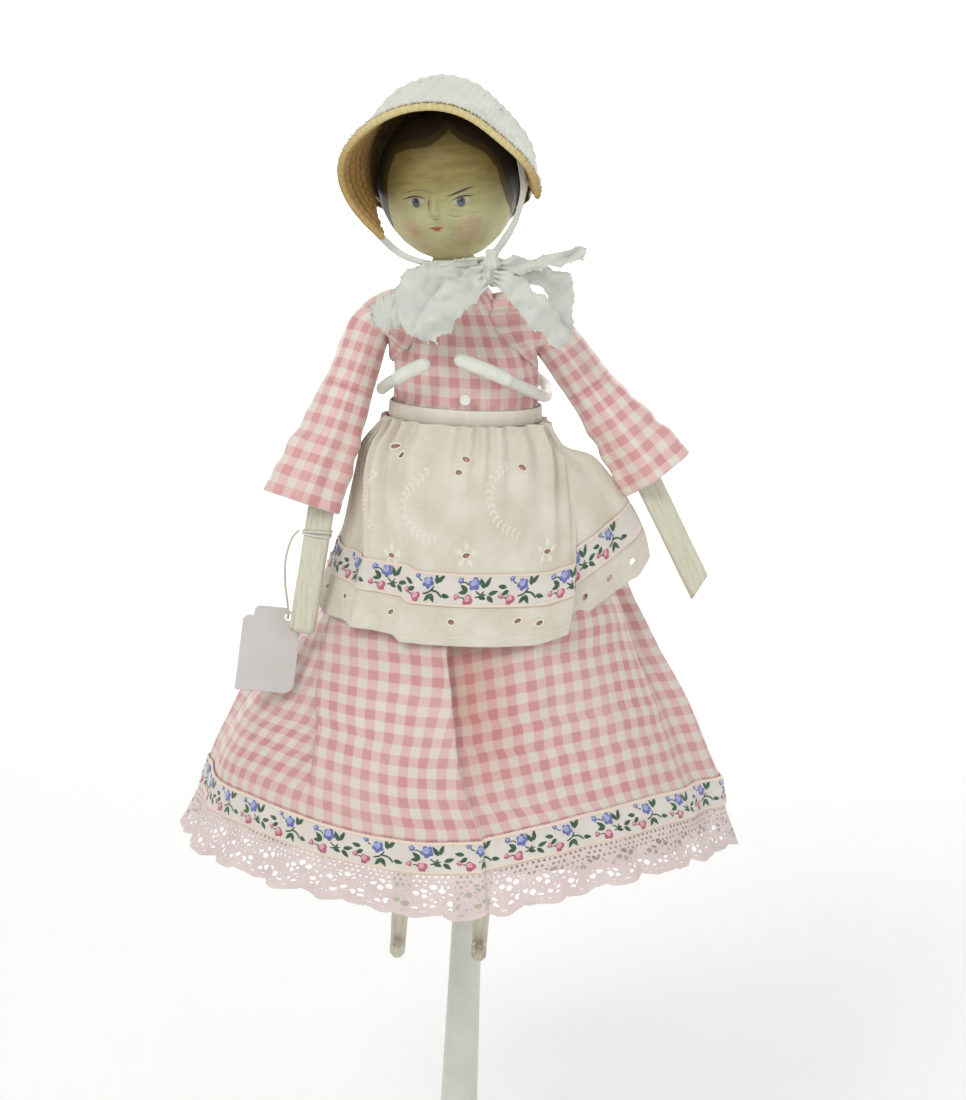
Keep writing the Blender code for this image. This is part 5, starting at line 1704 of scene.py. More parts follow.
def apron_ribbon(surface, low, start, stop, name, first):
    """The flowered ribbon sewn across an apron panel, with its corded edges."""
    u = np.arange(start, stop, 0.5)
    lift = np.repeat((0.5 + 0.35 * BAND_CORDS[::-1])[:, None], len(u), 1)
    lift -= 0.3 * (step01(start + 0.8 - u, 0, 0.8) + step01(u - stop + 0.8, 0, 0.8))[None, :]
    uu, vv = np.meshgrid(u, BAND_V[::-1])
    points = surface.at(uu, low + vv, lift)
    uv = np.stack([uu, vv], -1)
    made = thicken(grid_object(f"apron_flower_ribbon_{name}", points, ribbon_ground(), uv), 0.22)
    put(made, "doll", "floral_ribbon", "apron_ribbon")
    # The gathers take the cloth up, so the sprays are spaced by the length the ribbon shows.
    run = run_of(points[len(points) // 2])
    top = Surface(points[::-1], run, BAND_V)
    centres = [(x, RIBBON / 2) for x in np.arange(first, run[-1] - 4, SPRAY_GAP)]
    return made, embroidery(f"apron_{name}", top, centres)


def apron_side(skirt, cream):
    """The apron's stiff left side, tucked behind the front's fold and standing off the skirt."""
    outer = spline(
        [(18.9, -32.4, 300.9), (24.2, -33.4, 293.2), (33.3, -31.0, 290.0), (39.9, -29.6, 283.3),
         (46.8, -29.0, 274.6), (51.8, -30.0, 265.8), (54.2, -31.0, 257.5)], 90,
    )
    foot = spline(
        [(54.2, -31.0, 257.5), (51.4, -34.0, 252.4), (44.2, -40.6, 248.3), (34.9, -48.0, 242.8),
         (25.0, -56.5, 237.6)], 80,
    )
    z = np.linspace(300.9, 238.2, 90)
    phi = np.radians(fold_right(z) - 9)
    inner = skirt.oval.point(phi, z, 1.15)
    inner = inner + (foot[-1] - inner[-1]) * step01(z, 262, 238)[:, None] * np.linspace(0, 1, 90)[:, None]
    wide, long = 46.0, 60.0
    u = np.linspace(0, wide, 93)
    v = np.linspace(0, long, 121)
    top = np.linspace(0, 1, 121)
    rows = []
    for t in top:
        a = [np.interp(t * 89, np.arange(90), inner[:, k]) for k in range(3)]
        b = np.array([np.interp(t * 89, np.arange(90), outer[:, k]) for k in range(3)])
        f = (u / wide)[:, None]
        line = a + (b - a) * f
        bulge = np.sin(math.pi * f) * np.array([0.35, -0.9, 0.1]) * (1.2 + 2.2 * t)
        ripple = np.sin(math.tau * (f * 2.2 + 0.2)) * np.array([0.2, -0.8, 0]) * (0.4 + 0.5 * t)
        rows.append(line + bulge + ripple)
    rows = np.array(rows)
    # The hem follows the foot line: each row near it slides down onto it.
    target = np.stack([np.interp((1 - u / wide) * 79, np.arange(80), foot[:, k]) for k in range(3)], -1)
    rows = rows + (target - rows[-1])[None] * (top[:, None, None] ** 2.2)
    surface = Surface(rows[::-1], u, v)

    def keep(a, b):
        scallop = 0.9 * np.abs(np.sin(math.pi * a / 7.5)) - 0.2
        holes = [(12.0, 5.2), (24.0, 5.4), (36.0, 5.2)]
        gap = np.min([np.hypot((a - x) / 1.5, (b - y) / 0.85) - 1 for x, y in holes], axis=0)
        return np.minimum.reduce([a + 0.05, wide + 0.05 - a, b - scallop + 0.3, long + 0.05 - b, gap])

    made = cut_sheet("eyelet_apron_side", u, v, keep, surface.at, cream)
    thicken(made, 0.35)
    put(made, "doll", "eyelet_cotton")
    band, flowers = apron_ribbon(surface, 10.5, 0.4, wide - 0.4, "side", 8.5)


def waistband(bodice, satin):
    """The apron's band round the waist and its tied bow behind."""
    phi = np.linspace(0, math.tau, 180, endpoint=False)
    v = np.array([0, 0.15, 0.6, 1.5, 2.6, 3.7, 4.6, 5.05, 5.2])
    puff = np.array([0.15, 0.35, 0.45, 0.5, 0.5, 0.5, 0.45, 0.35, 0.15])
    rows = []
    for height, out in zip(v[::-1], puff[::-1]):
        ripple = 0.14 * np.sin(phi * 31 + np.sin(phi * 5)) + 0.08 * np.sin(phi * 12)
        rows.append(bodice.point(phi, 299.4 + height, 0.85 + out + ripple))
    uv = uv_grid(np.linspace(0, 134, 181), v[::-1])
    made = thicken(grid_object("apron_waistband", np.array(rows), satin, uv, wrap=True), 0.4, -1)
    band = put(made, "doll", "eyelet_cotton", "waistband")
    low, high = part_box("apron_bow")
    middle = (np.array(low) + np.array(high)) / 2 / MM
    half = (np.array(high) - np.array(low)) / 2 / MM
    parts = []
    for side in (-1, 1):
        t = np.linspace(0, 1, 30)
        x = side * half[0] * (0.12 + 0.88 * np.sin(math.pi * t * 0.999) ** 0.8) * (1 - 0.05 * t)
        zz = 2.6 * np.cos(math.pi * t) + 0.5
        y = 0.9 * np.sin(math.tau * t) + 0.3
        line = np.stack([x, y, zz], -1) + middle
        parts.append(strap(line, 2.6, 0.35))
        t = np.linspace(0, 1, 16)
        drop = np.stack([side * (1.2 + 5.5 * t), 0.6 + 0.3 * np.sin(5 * t), -0.6 - 2.6 * t**1.2], -1)
        parts.append(strap(drop + middle, 2.2, 0.35))
    ball = np.stack([np.zeros(6), np.full(6, 0.4), np.linspace(-1.3, 1.5, 6)], -1) + middle
    parts.append(strap(ball, 3.0, 1.1))
    return [band, put(joined("apron_tied_bow", parts, satin), "doll", "eyelet_cotton", "apron_bow")]


def strap(line, wide, thick):
    """A flat strip along a line, its width lying along Y, as points and faces."""
    p = np.asarray(line, float)
    out = np.array([0, 1.0, 0.0])
    ups = unit(np.cross(unit(np.gradient(p, axis=0)), out)) * thick / 2
    side = out * wide / 2
    count = len(p)
    verts = []
    for k, up in enumerate(ups):
        verts.extend([p[k] - side - up, p[k] + side - up, p[k] + side + up, p[k] - side + up])
    faces = [(0, 1, 2, 3), tuple(4 * (count - 1) + i for i in (3, 2, 1, 0))]
    for k in range(count - 1):
        for i in range(4):
            j = (i + 1) % 4
            faces.append((4 * k + j, 4 * k + i, 4 * k + 4 + i, 4 * k + 4 + j))
    return verts, faces


# ---------------------------------------------------------------- bodice and sleeves


def bodice_piece(oval, cloth, white):
    """The fitted top, gathered at the waist and creased below the arms, with its frill and button."""
    phi = np.linspace(0, math.tau, 300, endpoint=False)
    z = np.concatenate([np.linspace(342.6, 330, 12)[:-1], np.linspace(330, 299.6, 30)])
    rows = []
    for level in z:
        gathers = 0.55 * np.sin(phi * 24 + 2 * np.sin(phi * 3)) * float(step01(316 - level, 0, 16))
        crease = 0.5 * np.sin(phi * 9 + level * 0.12) * float(bell(level, 322, 9))
        pleat = 0.9 * bell(np.degrees(phi), 26 - (330 - level) * 0.1, 3.2) * float(bell(level, 318, 11))
        wander = noises(lambda a: (3 * math.cos(a), 3 * math.sin(a), level / 9), phi)
        rows.append(oval.point(phi, level, gathers + crease + pleat + 0.5 * wander - 0.15))
    uv = uv_grid(np.append(phi, math.tau) * 22.24, z + 1.2)
    made = thicken(grid_object("gingham_bodice", np.array(rows), cloth, uv, wrap=True), 0.4, -1)
    put(made, "doll", "gingham", "bodice")
    frill_low, frill_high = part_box("neck_frill")
    centre = (np.array(frill_low) + np.array(frill_high)) / 2 / MM
    reach = (frill_high.x - frill_low.x) / 2 / MM
    turn = np.linspace(0, math.tau, 360, endpoint=False)
    rows = []
    for f in np.linspace(0, 1, 9):
        wave = np.sin(turn * 19 + 0.6 * np.sin(turn * 4)) * 1.15 * f
        r = 7.4 + (reach - 7.0) * f
        ring = np.stack([r * np.sin(turn), -0.92 * r * np.cos(turn), 1.2 - 1.9 * f + wave], -1)
        rows.append(centre + ring)
    uv = uv_grid(np.linspace(0, 68, 361), np.linspace(0, 6, 9))
    frill = grid_object("neck_gingham_frill", np.array(rows), cloth, uv, wrap=True, flip=True)
    thicken(frill, 0.35)
    put(frill, "doll", "gingham", "neck_frill")
    beads = [loop_mesh(circle3(place, 0.32), 0.3, 6) for place in rows[-1][::5]]
    picots = put(joined("neck_picot_beads", beads, white), "doll", "white_cotton")
    button()


def circle3(centre, radius):
    """Eight points of a circle that faces the front."""
    turn = np.linspace(0, math.tau, 8, endpoint=False)
    return centre + radius * np.stack([np.cos(turn), np.zeros(8), np.sin(turn)], -1)


def button():
    low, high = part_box("bodice_button")
    centre = (low + high) / 2 / MM
    face = Matrix.Translation((centre.x, high.y / MM - 0.2, centre.z))
    face = face @ Matrix.Rotation(math.radians(90), 4, "X")
    profile = [(0, 1.0), (0.85, 0.98), (1.05, 1.25), (1.5, 1.3), (1.75, 0.95), (1.7, 0.45), (1.3, 0.2)]
    profile.append((0, 0.2))
    made = turned("pearl_shank_button", rounded(profile, 0.15), pearl(), 40, matrix=face)
    put(made, "doll", "pearl_button", "bodice_button")


SLEEVE = [
    (-9.5, 0.5, 3.5, 4), (-7.5, 0.5, 6, 7), (-2, 0.8, 7.2, 8.6), (8, 1.6, 7.2, 9), (22, 1.9, 7.6, 9.2),
    (38, 2.4, 9.4, 9.8), (54, 4, 11.4, 10.4), (63, 4.6, 12.4, 10.8),
]
ARMS = {
    "right": ((-37, 330), (-51, 281.5), (-57.5, 229), 13.0),
    "left": ((16, 330), (47.8, 290), (74.1, 242), 3.0),
}


def forearm_frame(side):
    """The forearm's frame, its origin where the leaning upper arm ends."""
    shoulder, elbow, hand, forward = ARMS[side]
    joint = limb_frame(shoulder, elbow, forward) @ Vector((0, 0, -math.dist(shoulder, elbow)))
    return Matrix.Translation(joint) @ limb_frame(elbow, hand, forward).to_3x3().to_4x4()


def limb_frame(start, end, forward):
    """A limb's own frame: its origin at the joint, its bone along -Z, leaning forward."""
    direction = Vector((end[0] - start[0], 0, end[1] - start[1])).normalized()
    up = -direction
    side = Vector((0, 1, 0)).cross(up)
    frame = Matrix((side, Vector((0, 1, 0)), up)).transposed().to_4x4()
    place = Matrix.Translation((start[0], DOLL_Y, start[1]))
    return place @ frame @ Matrix.Rotation(math.radians(-forward), 4, "X")


def armhole(oval, out, turn):
    """The seam where a sleeve is set into the bodice, just inside the bodice's surface."""
    z = 328 + out * 11 * np.sin(turn)
    across = 10.5 * np.cos(turn)
    centre, wide, deep = oval.at(z)
    x = centre + out * (wide * np.sqrt(np.maximum(0.08, 1 - (across / deep) ** 2)) - 0.6)
    return np.stack([x, DOLL_Y - across, z], -1)


def sleeve(side, cloth, oval):
    """A bell sleeve in two pieces that meet above the elbow."""
    shoulder, elbow, _, forward = ARMS[side]
    frame = limb_frame(shoulder, elbow, forward)
    out = -1 if side == "right" else 1
    table = np.array(SLEEVE, float)
    if side == "left":
        table[table[:, 0] >= 50, 0] -= 3
        table[:, 1] *= 0.5
    down = np.linspace(5.0, table[-1, 0], 56)
    spans = [smoothed(np.interp(down, table[:, 0], table[:, k]), 1.6) for k in (1, 2, 3)]
    turn = np.linspace(0, math.tau, 128, endpoint=False)
    rows = []
    for level, shift, wide, deep in zip(down, *spans):
        puff = 0.75 * np.sin(turn * 11 + 1.5 * np.sin(turn * 2)) * float(step01(6 - level, 0, 12))
        drape = 0.8 * np.sin(turn * 5 + 0.9 + level * 0.02) * float(step01(level, 20, 50))
        elbow_fold = 0.9 * np.sin(level * 0.62 + 1.6 * np.sin(turn)) * float(bell(level, 44, 10))
        elbow_fold *= 0.4 + 0.6 * np.sin(turn / 2) ** 2
        wander = noises(lambda a: (1.8 * math.cos(a), 1.8 * math.sin(a), level / 11 + out * 5), turn)
        r = puff * 0.8 + drape + elbow_fold * 0.8 + 0.7 * wander
        x, y = out * shift + (wide + r) * np.sin(turn), -(deep + r) * np.cos(turn)
        rows.append(np.stack([x, y, np.full(128, -level)], -1))
    grid = moved(rows, frame)
    # The gathered head runs from the armhole to the first ring of the sleeve proper.
    seam, first = armhole(oval, out, turn), grid[0]
    reach = np.linalg.norm(first - seam, axis=1)[:, None]
    leave = np.array([out * 1.0, 0, 0.25]) * reach * 1.25
    arrive = unit(grid[1] - grid[0]) * reach * 0.9
    head_rows = []
    for t in np.linspace(0, 1, 15)[:-1]:
        ring = (2 * t**3 - 3 * t**2 + 1) * seam + (t**3 - 2 * t**2 + t) * leave
        ring = ring + (3 * t**2 - 2 * t**3) * first + (t**3 - t**2) * arrive
        gather = 0.75 * np.sin(turn * 13 + 1.3 * np.sin(turn * 2)) * (1 - 0.5 * t)
        gather *= math.sin(math.pi * min(1, t + 0.22))
        head_rows.append(ring + unit(ring - ring.mean(0)) * gather[:, None])
    grid = np.concatenate([np.array(head_rows), grid])
    length = np.concatenate([[0], np.cumsum(np.linalg.norm(np.diff(grid, axis=0), axis=2).mean(1))])
    uv = uv_grid(np.append(turn, math.tau) * 9.8, 2.0 - length)
    split = len(head_rows) + int(np.argmin(np.abs(down - 24)))
    root = seam.mean(0)
    nodes_at = [root + (out * 1.5, 0, -3), root + (out * 12.5, 0, -10)]
    nodes_at += [moved([(0, 0, -z)], frame)[0] for z in (36, 60)]
    upper = grid_object(f"sleeve_upper_{side}", grid[: split + 1], cloth, uv[: split + 1], wrap=True)
    thicken(upper, 0.36)
    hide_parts(f"sleeve_{side}")
    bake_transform(upper)
    hem = hemmed(grid[split:], uv[split:])
    lower = grid_object(f"sleeve_lower_{side}", hem[0], cloth, hem[1], wrap=True)
    thicken(lower, 0.36)
    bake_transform(lower)


def hemmed(grid, uv):
    """Turns a narrow sewn hem under past the last row, with a stitched groove five rows from the edge."""
    centre = grid[-1].mean(0)
    rows, pairs = [*grid], [*uv]
    groove = len(rows) - 5
    middle = rows[groove].mean(0)
    rows[groove] = middle + (rows[groove] - middle) * 0.975
    along = unit((grid[-1] - grid[-2]).mean(0))
    for step, share in ((0.15, 0.965), (-1.2, 0.93), (-2.6, 0.925)):
        rows.append(centre + (grid[-1] - centre) * share + along * step)
        pairs.append(uv[-1] - (0, step))
    return np.array(rows), np.array(pairs)


# ---------------------------------------------------------------- limbs, tag and pegs


def carved(node, body, frame, wood, tip=None, red=0.0):
    """A limb from its CAD node: its arrises worn round, its faces slightly hollow from the knife."""
    source = nodes[node].data
    mesh = bpy.data.meshes.new(f"carved_{node}")
    work = bmesh.new()
    work.from_mesh(source)
    bmesh.ops.remove_doubles(work, verts=work.verts, dist=1e-6)
    work.to_mesh(mesh)
    work.free()
    made = bpy.data.objects.new(f"carved_{node}", mesh)
    bpy.context.scene.collection.objects.link(made)
    remesh = made.modifiers.new("Even", "REMESH")
    remesh.mode = "VOXEL"
    remesh.voxel_size = 0.42 * MM
    settle(made)
    before = np.array([v.co for v in made.data.vertices]) / MM
    smooth = made.modifiers.new("Worn", "SMOOTH")
    smooth.factor, smooth.iterations = 0.5, 5
    settle(made)
    after = np.array([v.co for v in made.data.vertices]) / MM
    normals = np.array([v.normal for v in made.data.vertices])
    worn = ((before - after) * normals).sum(1)
    local = moved(after, frame.inverted())
    marks = noises(lambda p: (p[0] / 3.2, p[1] / 3.2, p[2] / 11), local)
    chips = noises(lambda p: (p[0] / 1.1, p[1] / 1.1, p[2] / 2.2 + 40), local)
    edge = np.clip(worn / 0.16, 0, 1)
    shift = 0.12 * marks - 0.16 * edge * step01(chips, -0.1, 0.5)
    after = after + normals * shift[:, None]
    made.data.vertices.foreach_set("co", (after * MM).astype(np.float32).ravel())
    made.data.update()
    made.data.polygons.foreach_set("use_smooth", [True] * len(made.data.polygons))
    repaint(made, wood)
    store(made.data, "local", local, "FLOAT_VECTOR")
    store(made.data, "edge", edge)
    stain = np.zeros(len(local))
    if tip is not None:
        near = step01(-local[:, 2], tip - 13, tip - 1)
        stain = np.clip(edge * near * 0.4 + red * near * step01(chips, -0.5, 0.3), 0, 1)
    store(made.data, "stain", stain)
    return put(made, body, "painted_wood", node)


LEGS = {"right": ((-19, 272), (-23.2, 114.5)), "left": ((8.6, 272), (4.4, 114.5))}


def limbs():
    wood, plain = painted_wood(), bare_wood()
    for side, (shoulder, elbow, _, forward) in ARMS.items():
        carved(f"upper_arm_{side}", f"upper_arm_{side}", limb_frame(shoulder, elbow, forward), wood)
        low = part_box(f"forearm_{side}")[0].z / MM
        frame = forearm_frame(side)
        length = (frame.translation.z - low) / abs(frame.to_3x3().col[2].z)
        carved(f"forearm_{side}", f"forearm_{side}", frame, wood, tip=length)
    for side, (hip, foot) in LEGS.items():
        frame = limb_frame(hip, foot, 2.0)
        carved(f"thigh_{side}", f"thigh_{side}", frame, wood)
        red = 0.4 if side == "left" else 0.0
        carved(f"lower_leg_{side}", f"lower_leg_{side}", frame, wood, tip=157.5, red=red)
    for name, node in nodes.items():
        if name.startswith(("shoulder_peg", "hip_peg", "elbow_pin", "knee_pin")):
            repaint(node, plain)
            node.data.polygons.foreach_set("use_smooth", [True] * len(node.data.polygons))


TAG_FRAME = (
    Matrix.Translation((-67.4, -46.2, 225)) @ Matrix.Rotation(math.radians(3), 4, "Y")
    @ Matrix.Rotation(math.radians(-28), 4, "X")
)
STRING_ROUTE = [
    (-59.4, -38, 262.5), (-61.8, -36.4, 259), (-63.6, -35.4, 252), (-63.6, -35.2, 244),
    (-62.8, -35.4, 238.4), (-62.2, -36.8, 234.6), (-62.1, -39, 233.6), (-62.1, -40.9, 234.5),
]


def tag_and_string():
    """A blank card tag on a thread round the doll's right wrist."""
    wide, tall = 9.3, 13.9

    def keep(x, z):
        body = np.minimum(wide - np.abs(x), tall - np.abs(z))
        upper = (wide + tall - 4.6 - np.abs(x) - z) / math.sqrt(2)
        step = np.where((x < -wide + 3.4) & (z > tall - 3.2), -0.4, 1.0)
        low_x, low_z = x - (wide - 3.4), z + (tall - 3.4)
        corner = np.where((low_x > 0) & (low_z < 0), 3.4 - np.hypot(low_x, low_z), 9.0)
        hole = np.hypot(x - 5.2, z - 11.0) - 1.3
        return np.minimum.reduce([body, upper, step, corner, hole])

    def place(x, z):
        curl = 0.35 * (x / wide) ** 2 - 0.25 * (z / tall) ** 2
        return moved(np.stack([x, curl, z], -1), TAG_FRAME)

    steps = np.arange(-14.4, 14.5, 0.4)
    tag = cut_sheet("wrist_card_tag", steps[np.abs(steps) < 9.8], steps, keep, place, card())
    thicken(tag, 0.5)
    put(tag, "forearm_right", "card", "wrist_tag")
    cotton_thread = thread("white_thread", linear(236, 234, 226), linear(188, 186, 176))
    route = spline(STRING_ROUTE, 90)
    string = tube("wrist_string", route, 0.4, cotton_thread, 10)
    put(string, "forearm_right", "white_thread", "tag_string")
    frame = forearm_frame("right")
    drop = -(frame.inverted() @ Vector(STRING_ROUTE[0])).z
    parts = []
    for turn_number in range(2):
        turn = np.linspace(0, math.tau, 60, endpoint=False)
        square = 1 / np.maximum(np.abs(np.cos(turn)), np.abs(np.sin(turn))) ** 0.75
        x = 4.5 * np.cos(turn) * square
        y = 4.0 * np.sin(turn) * square
        z = -drop + 0.9 * turn_number + 0.7 * np.sin(turn + turn_number)
        parts.append(loop_mesh(moved(np.stack([x, y, z], -1), frame), 0.36, 8))
    loops = put(joined("wrist_thread_turns", parts, cotton_thread), "forearm_right", "white_thread")


# ---------------------------------------------------------------- the bonnet


BRIM = np.array([
    # y, centre x, centre z, half width, half height, first angle, last angle, crest
    (-27.6, -16.0, 379.0, 25.4, 25.4, -4, 202, 0.0),
    (-36.0, -16.6, 377.2, 26.6, 24.6, -3, 206, -1.0),
    (-45.0, -17.6, 374.8, 28.6, 24.6, -1, 209, -2.5),
    (-53.0, -18.6, 372.4, 30.6, 25.6, 1, 212, -4.0),
])
# How far the bonnet's left shoulder is pressed in, in mm.
PRESSED = 3.2
BRAID_PITCH = 1.9


def rim_age(f):
    """The straw is bleached along the crest and brown at both ends."""
    return 0.2 + 0.8 * step01(0.8 - f, 0, 0.25) * step01(f, 0.0, 0.2)


def brim_point(t, f, proud=0.0):
    """t runs from the crown to the rim, and f round it from the doll's left to its right."""
    row = [np.interp(t, np.linspace(0, 1, 4), BRIM[:, k]) for k in range(8)]
    y, cx, cz, rx, rz, first, last, crest = row
    # The lower end on the doll's right curls in towards the cheek, and the left shoulder is pressed flatter.
    rx = rx - 11.5 * np.asarray(t, float) ** 1.5 * np.clip((f - 0.7) / 0.3, 0, 1) ** 2
    a = np.radians(first + (last - first) * f)
    proud = proud - PRESSED * bell(np.degrees(a), 47, 30)
    y = y + crest * np.maximum(0, np.sin(a))
    x, z = cx + (rx + proud) * np.cos(a), cz + (rz + proud) * np.sin(a)
    return np.stack(np.broadcast_arrays(x, y, z), -1)


def bonnet(white):
    """The straw brim, its edge and the crown, with the white cloth over them."""
    straw = straw_plait()
    rows = 6
    t = np.linspace(0, 1, 66)
    f = np.linspace(0, 1, 420)
    tt, ff = np.meshgrid(t, f, indexing="ij")
    run = ff * 104.0
    row = np.floor(np.clip(tt * rows, 0, rows - 1e-6))
    inside_row = tt * rows - row
    roll = np.sqrt(np.clip(1 - (2 * inside_row - 1) ** 2, 0, 1))
    slant = np.where(row % 2 == 0, 1.0, -1.0)
    plait = np.sin(math.tau * (run / 2.6 + slant * (np.abs(inside_row - 0.5)) * 1.1 + 0.31 * row))
    bulge = 0.5 * roll + 0.16 * plait * roll
    outer = brim_point(tt, ff, 0.25 + bulge)
    inner = brim_point(tt, ff, -0.75 - bulge * 1.05)
    grid = np.concatenate([outer, inner[::-1]])
    uv = np.stack([np.concatenate([run, run[::-1]]), np.concatenate([tt * 26, 60 - tt[::-1] * 26])], -1)
    verts = grid.reshape(-1, 3)
    count, wide = len(grid), len(f)
    faces = grid_faces(count, wide).tolist()
    for j in range(wide - 1):
        faces.append([(count - 1) * wide + j, j, j + 1, (count - 1) * wide + j + 1])
    for side in (0, wide - 1):
        for i in range(count // 2 - 1):
            a, b = i * wide + side, (i + 1) * wide + side
            c, d = (count - 2 - i) * wide + side, (count - 1 - i) * wide + side
            faces.append([a, b, c, d] if side else [d, c, b, a])
    made = mesh_object("straw_brim", verts, faces, straw, uv.reshape(-1, 2))
    inner_age = 0.75 * step01(tt, 0.86, 1.0) * rim_age(ff) + 0.1 * roll * step01(plait, 0, 1)
    age = np.concatenate([0.85 * rim_age(ff), inner_age[::-1]])
    store(made.data, "age", age)
    # Painted shade in the grooves between the plait rows on the brim's inside.
    groove = (1 - step01(roll, 0.25, 0.75)) * 0.85
    store(made.data, "groove", np.concatenate([np.zeros_like(groove), groove[::-1]]))
    put(made, "doll", "straw", "bonnet_brim")

    line = brim_point(np.ones(700), np.linspace(0, 1, 700)) + (0, -1.3, 0)
    line = spline(line, 700)
    length = np.linspace(0, length_of(line), 700)
    radius = 1.04 + 0.07 * np.abs(np.sin(math.pi * length / BRAID_PITCH))
    edge = tube("straw_edge_braid", line, radius, straw, 14)
    # The tube has 14 points to a ring, and a dome of four rings before its first.
    along = np.clip((np.arange(len(edge.data.vertices)) // 14 - 4) / 699, 0, 1)
    store(edge.data, "age", rim_age(along))
    # Painted shade in the notches of the edge braid.
    notch = (1 - np.abs(np.sin(math.pi * along * length[-1] / BRAID_PITCH))) ** 2
    store(edge.data, "groove", 0.16 * notch)
    put(edge, "doll", "straw", "bonnet_edge")

    for name, radius, front, material, node in (
        ("straw_crown", 25.35, -5.0, straw, "bonnet_crown"),
        ("white_crown_cover", 26.75, -4.4, white, "bonnet_cover"),
    ):
        theta = np.linspace(0, math.tau, 288, endpoint=False)
        alpha = np.linspace(0.015, math.radians(104), 90)
        rows_out = []
        limit = []
        for a in theta:
            y = radius * np.cos(alpha)
            z = radius * np.sin(alpha) * math.sin(a)
            bad = (y < front) | (0.588 * (y + 5) + 0.809 * (z + 5.5) < 0)
            limit.append(alpha[np.argmax(bad)] if bad.any() else alpha[-1])
        wrapped = smoothed(np.concatenate([limit[-20:], limit, limit[:20]]), 2.0)[20:-20]
        for share in np.linspace(0.0, 1, 84) ** 0.9:
            a = np.maximum(0.02, wrapped * share)
            if node == "bonnet_cover":
                pucker = 0.75 * np.sin(theta * 46 + 1.2 * np.sin(theta * 7))
                pucker *= float(step01(share, 0.66, 0.97))
                seam = 0.5 * np.sin(theta * 30) * float(bell(share, 0.49, 0.07))
                seam -= 0.8 * float(bell(share, 0.55, 0.025))
                wander = noises(lambda k: (3.4 * math.cos(k) * share, 3.4 * math.sin(k) * share, 2.0), theta)
                r = radius + 0.45 + 0.4 * (pucker + seam + wander * 1.1)
                r = r + 0.9 * float(bell(share, 0.86, 0.09))
            else:
                r = radius + 0.25 * abs(math.sin(math.pi * share * 13)) + 0.08 * np.sin(theta * 90)
            r = r - PRESSED * bell(np.degrees(theta), 47, 34)
            side = r * np.sin(a)
            ring = np.stack([side * np.cos(theta), r * np.cos(a), side * np.sin(theta)], -1)
            rows_out.append(ring + (-16, -22, 379))
        uv = uv_grid(np.linspace(0, 163, 289), np.linspace(0, 42, 84))
        made = grid_object(name, np.array(rows_out), material, uv, wrap=True, flip=True)
        cap = bmesh.new()
        cap.from_mesh(made.data)
        cap.verts.ensure_lookup_table()
        cap.faces.new([cap.verts[k] for k in range(288)])
        bmesh.ops.recalc_face_normals(cap, faces=cap.faces)
        cap.to_mesh(made.data)
        cap.free()
        thicken(made, 0.7 if node == "bonnet_crown" else 0.4)
        if node == "bonnet_crown":
            store(made.data, "age", np.full(len(made.data.vertices), 0.35))
        put(made, "doll", "straw" if node == "bonnet_crown" else "white_cotton", node)
    # The cover is the second of the two.
    return made, *brim_cover(white)


def brim_cover(white):
    """Puckered white cotton over the brim's outside, gathered on a thread with a picot edge."""
    t = np.linspace(-0.06, 0.94, 44)
    f = np.linspace(0.005, 0.995, 520)
    tt, ff = np.meshgrid(t, f, indexing="ij")
    edge = step01(tt, 0.8, 0.94)
    gathers = np.sin(math.tau * (ff * 46 + 0.5 * np.sin(ff * 23)))
    drawn = bell(tt, 0.76, 0.05) + bell(tt, 0.02, 0.08)
    wander = noises(lambda a, b: (a * 3.0, b * 26, 0.0), t, f)
    lift = 1.75 + 0.7 * wander * (1 - edge) - 0.3 * drawn + 0.2 * gathers * (0.25 + drawn) - 0.6 * edge
    points = brim_point(np.clip(tt, 0, 1), ff, lift)
    points[..., 1] -= np.minimum(tt, 0) * 30
    uv = np.stack([ff * 104, tt * 26], -1)
    made = thicken(grid_object("white_brim_cover", points, white, uv), 0.35)
    put(made, "doll", "white_cotton")
    beads = []
    for k, at in enumerate(np.linspace(0.01, 0.99, 88)):
        centre = brim_point(np.array(0.95), np.array(at), 1.3 + 0.15 * math.sin(k * 2.1))
        beads.append(ball(centre, 0.5))
    return made, put(joined("brim_picot_beads", beads, white), "doll", "white_cotton")


def ball(centre, radius):
    """Points and faces of a small ball."""
    rings, sides = 6, 8
    verts = [np.array(centre) + (0, 0, radius)]
    for i in range(1, rings):
        a = math.pi * i / rings
        for j in range(sides):
            b = math.tau * j / sides
            way = np.array([math.sin(a) * math.cos(b), math.sin(a) * math.sin(b), math.cos(a)])
            verts.append(np.array(centre) + radius * way)
    verts.append(np.array(centre) - (0, 0, radius))
    faces = [(0, 1 + j, 1 + (j + 1) % sides) for j in range(sides)]
    for i in range(rings - 2):
        for j in range(sides):
            a, b = 1 + i * sides + j, 1 + i * sides + (j + 1) % sides
            faces.append((a, a + sides, b + sides, b))
    last = len(verts) - 1
    start = 1 + (rings - 2) * sides
    faces += [(last, start + (j + 1) % sides, start + j) for j in range(sides)]
    return verts, faces


# ---------------------------------------------------------------- ties and bow


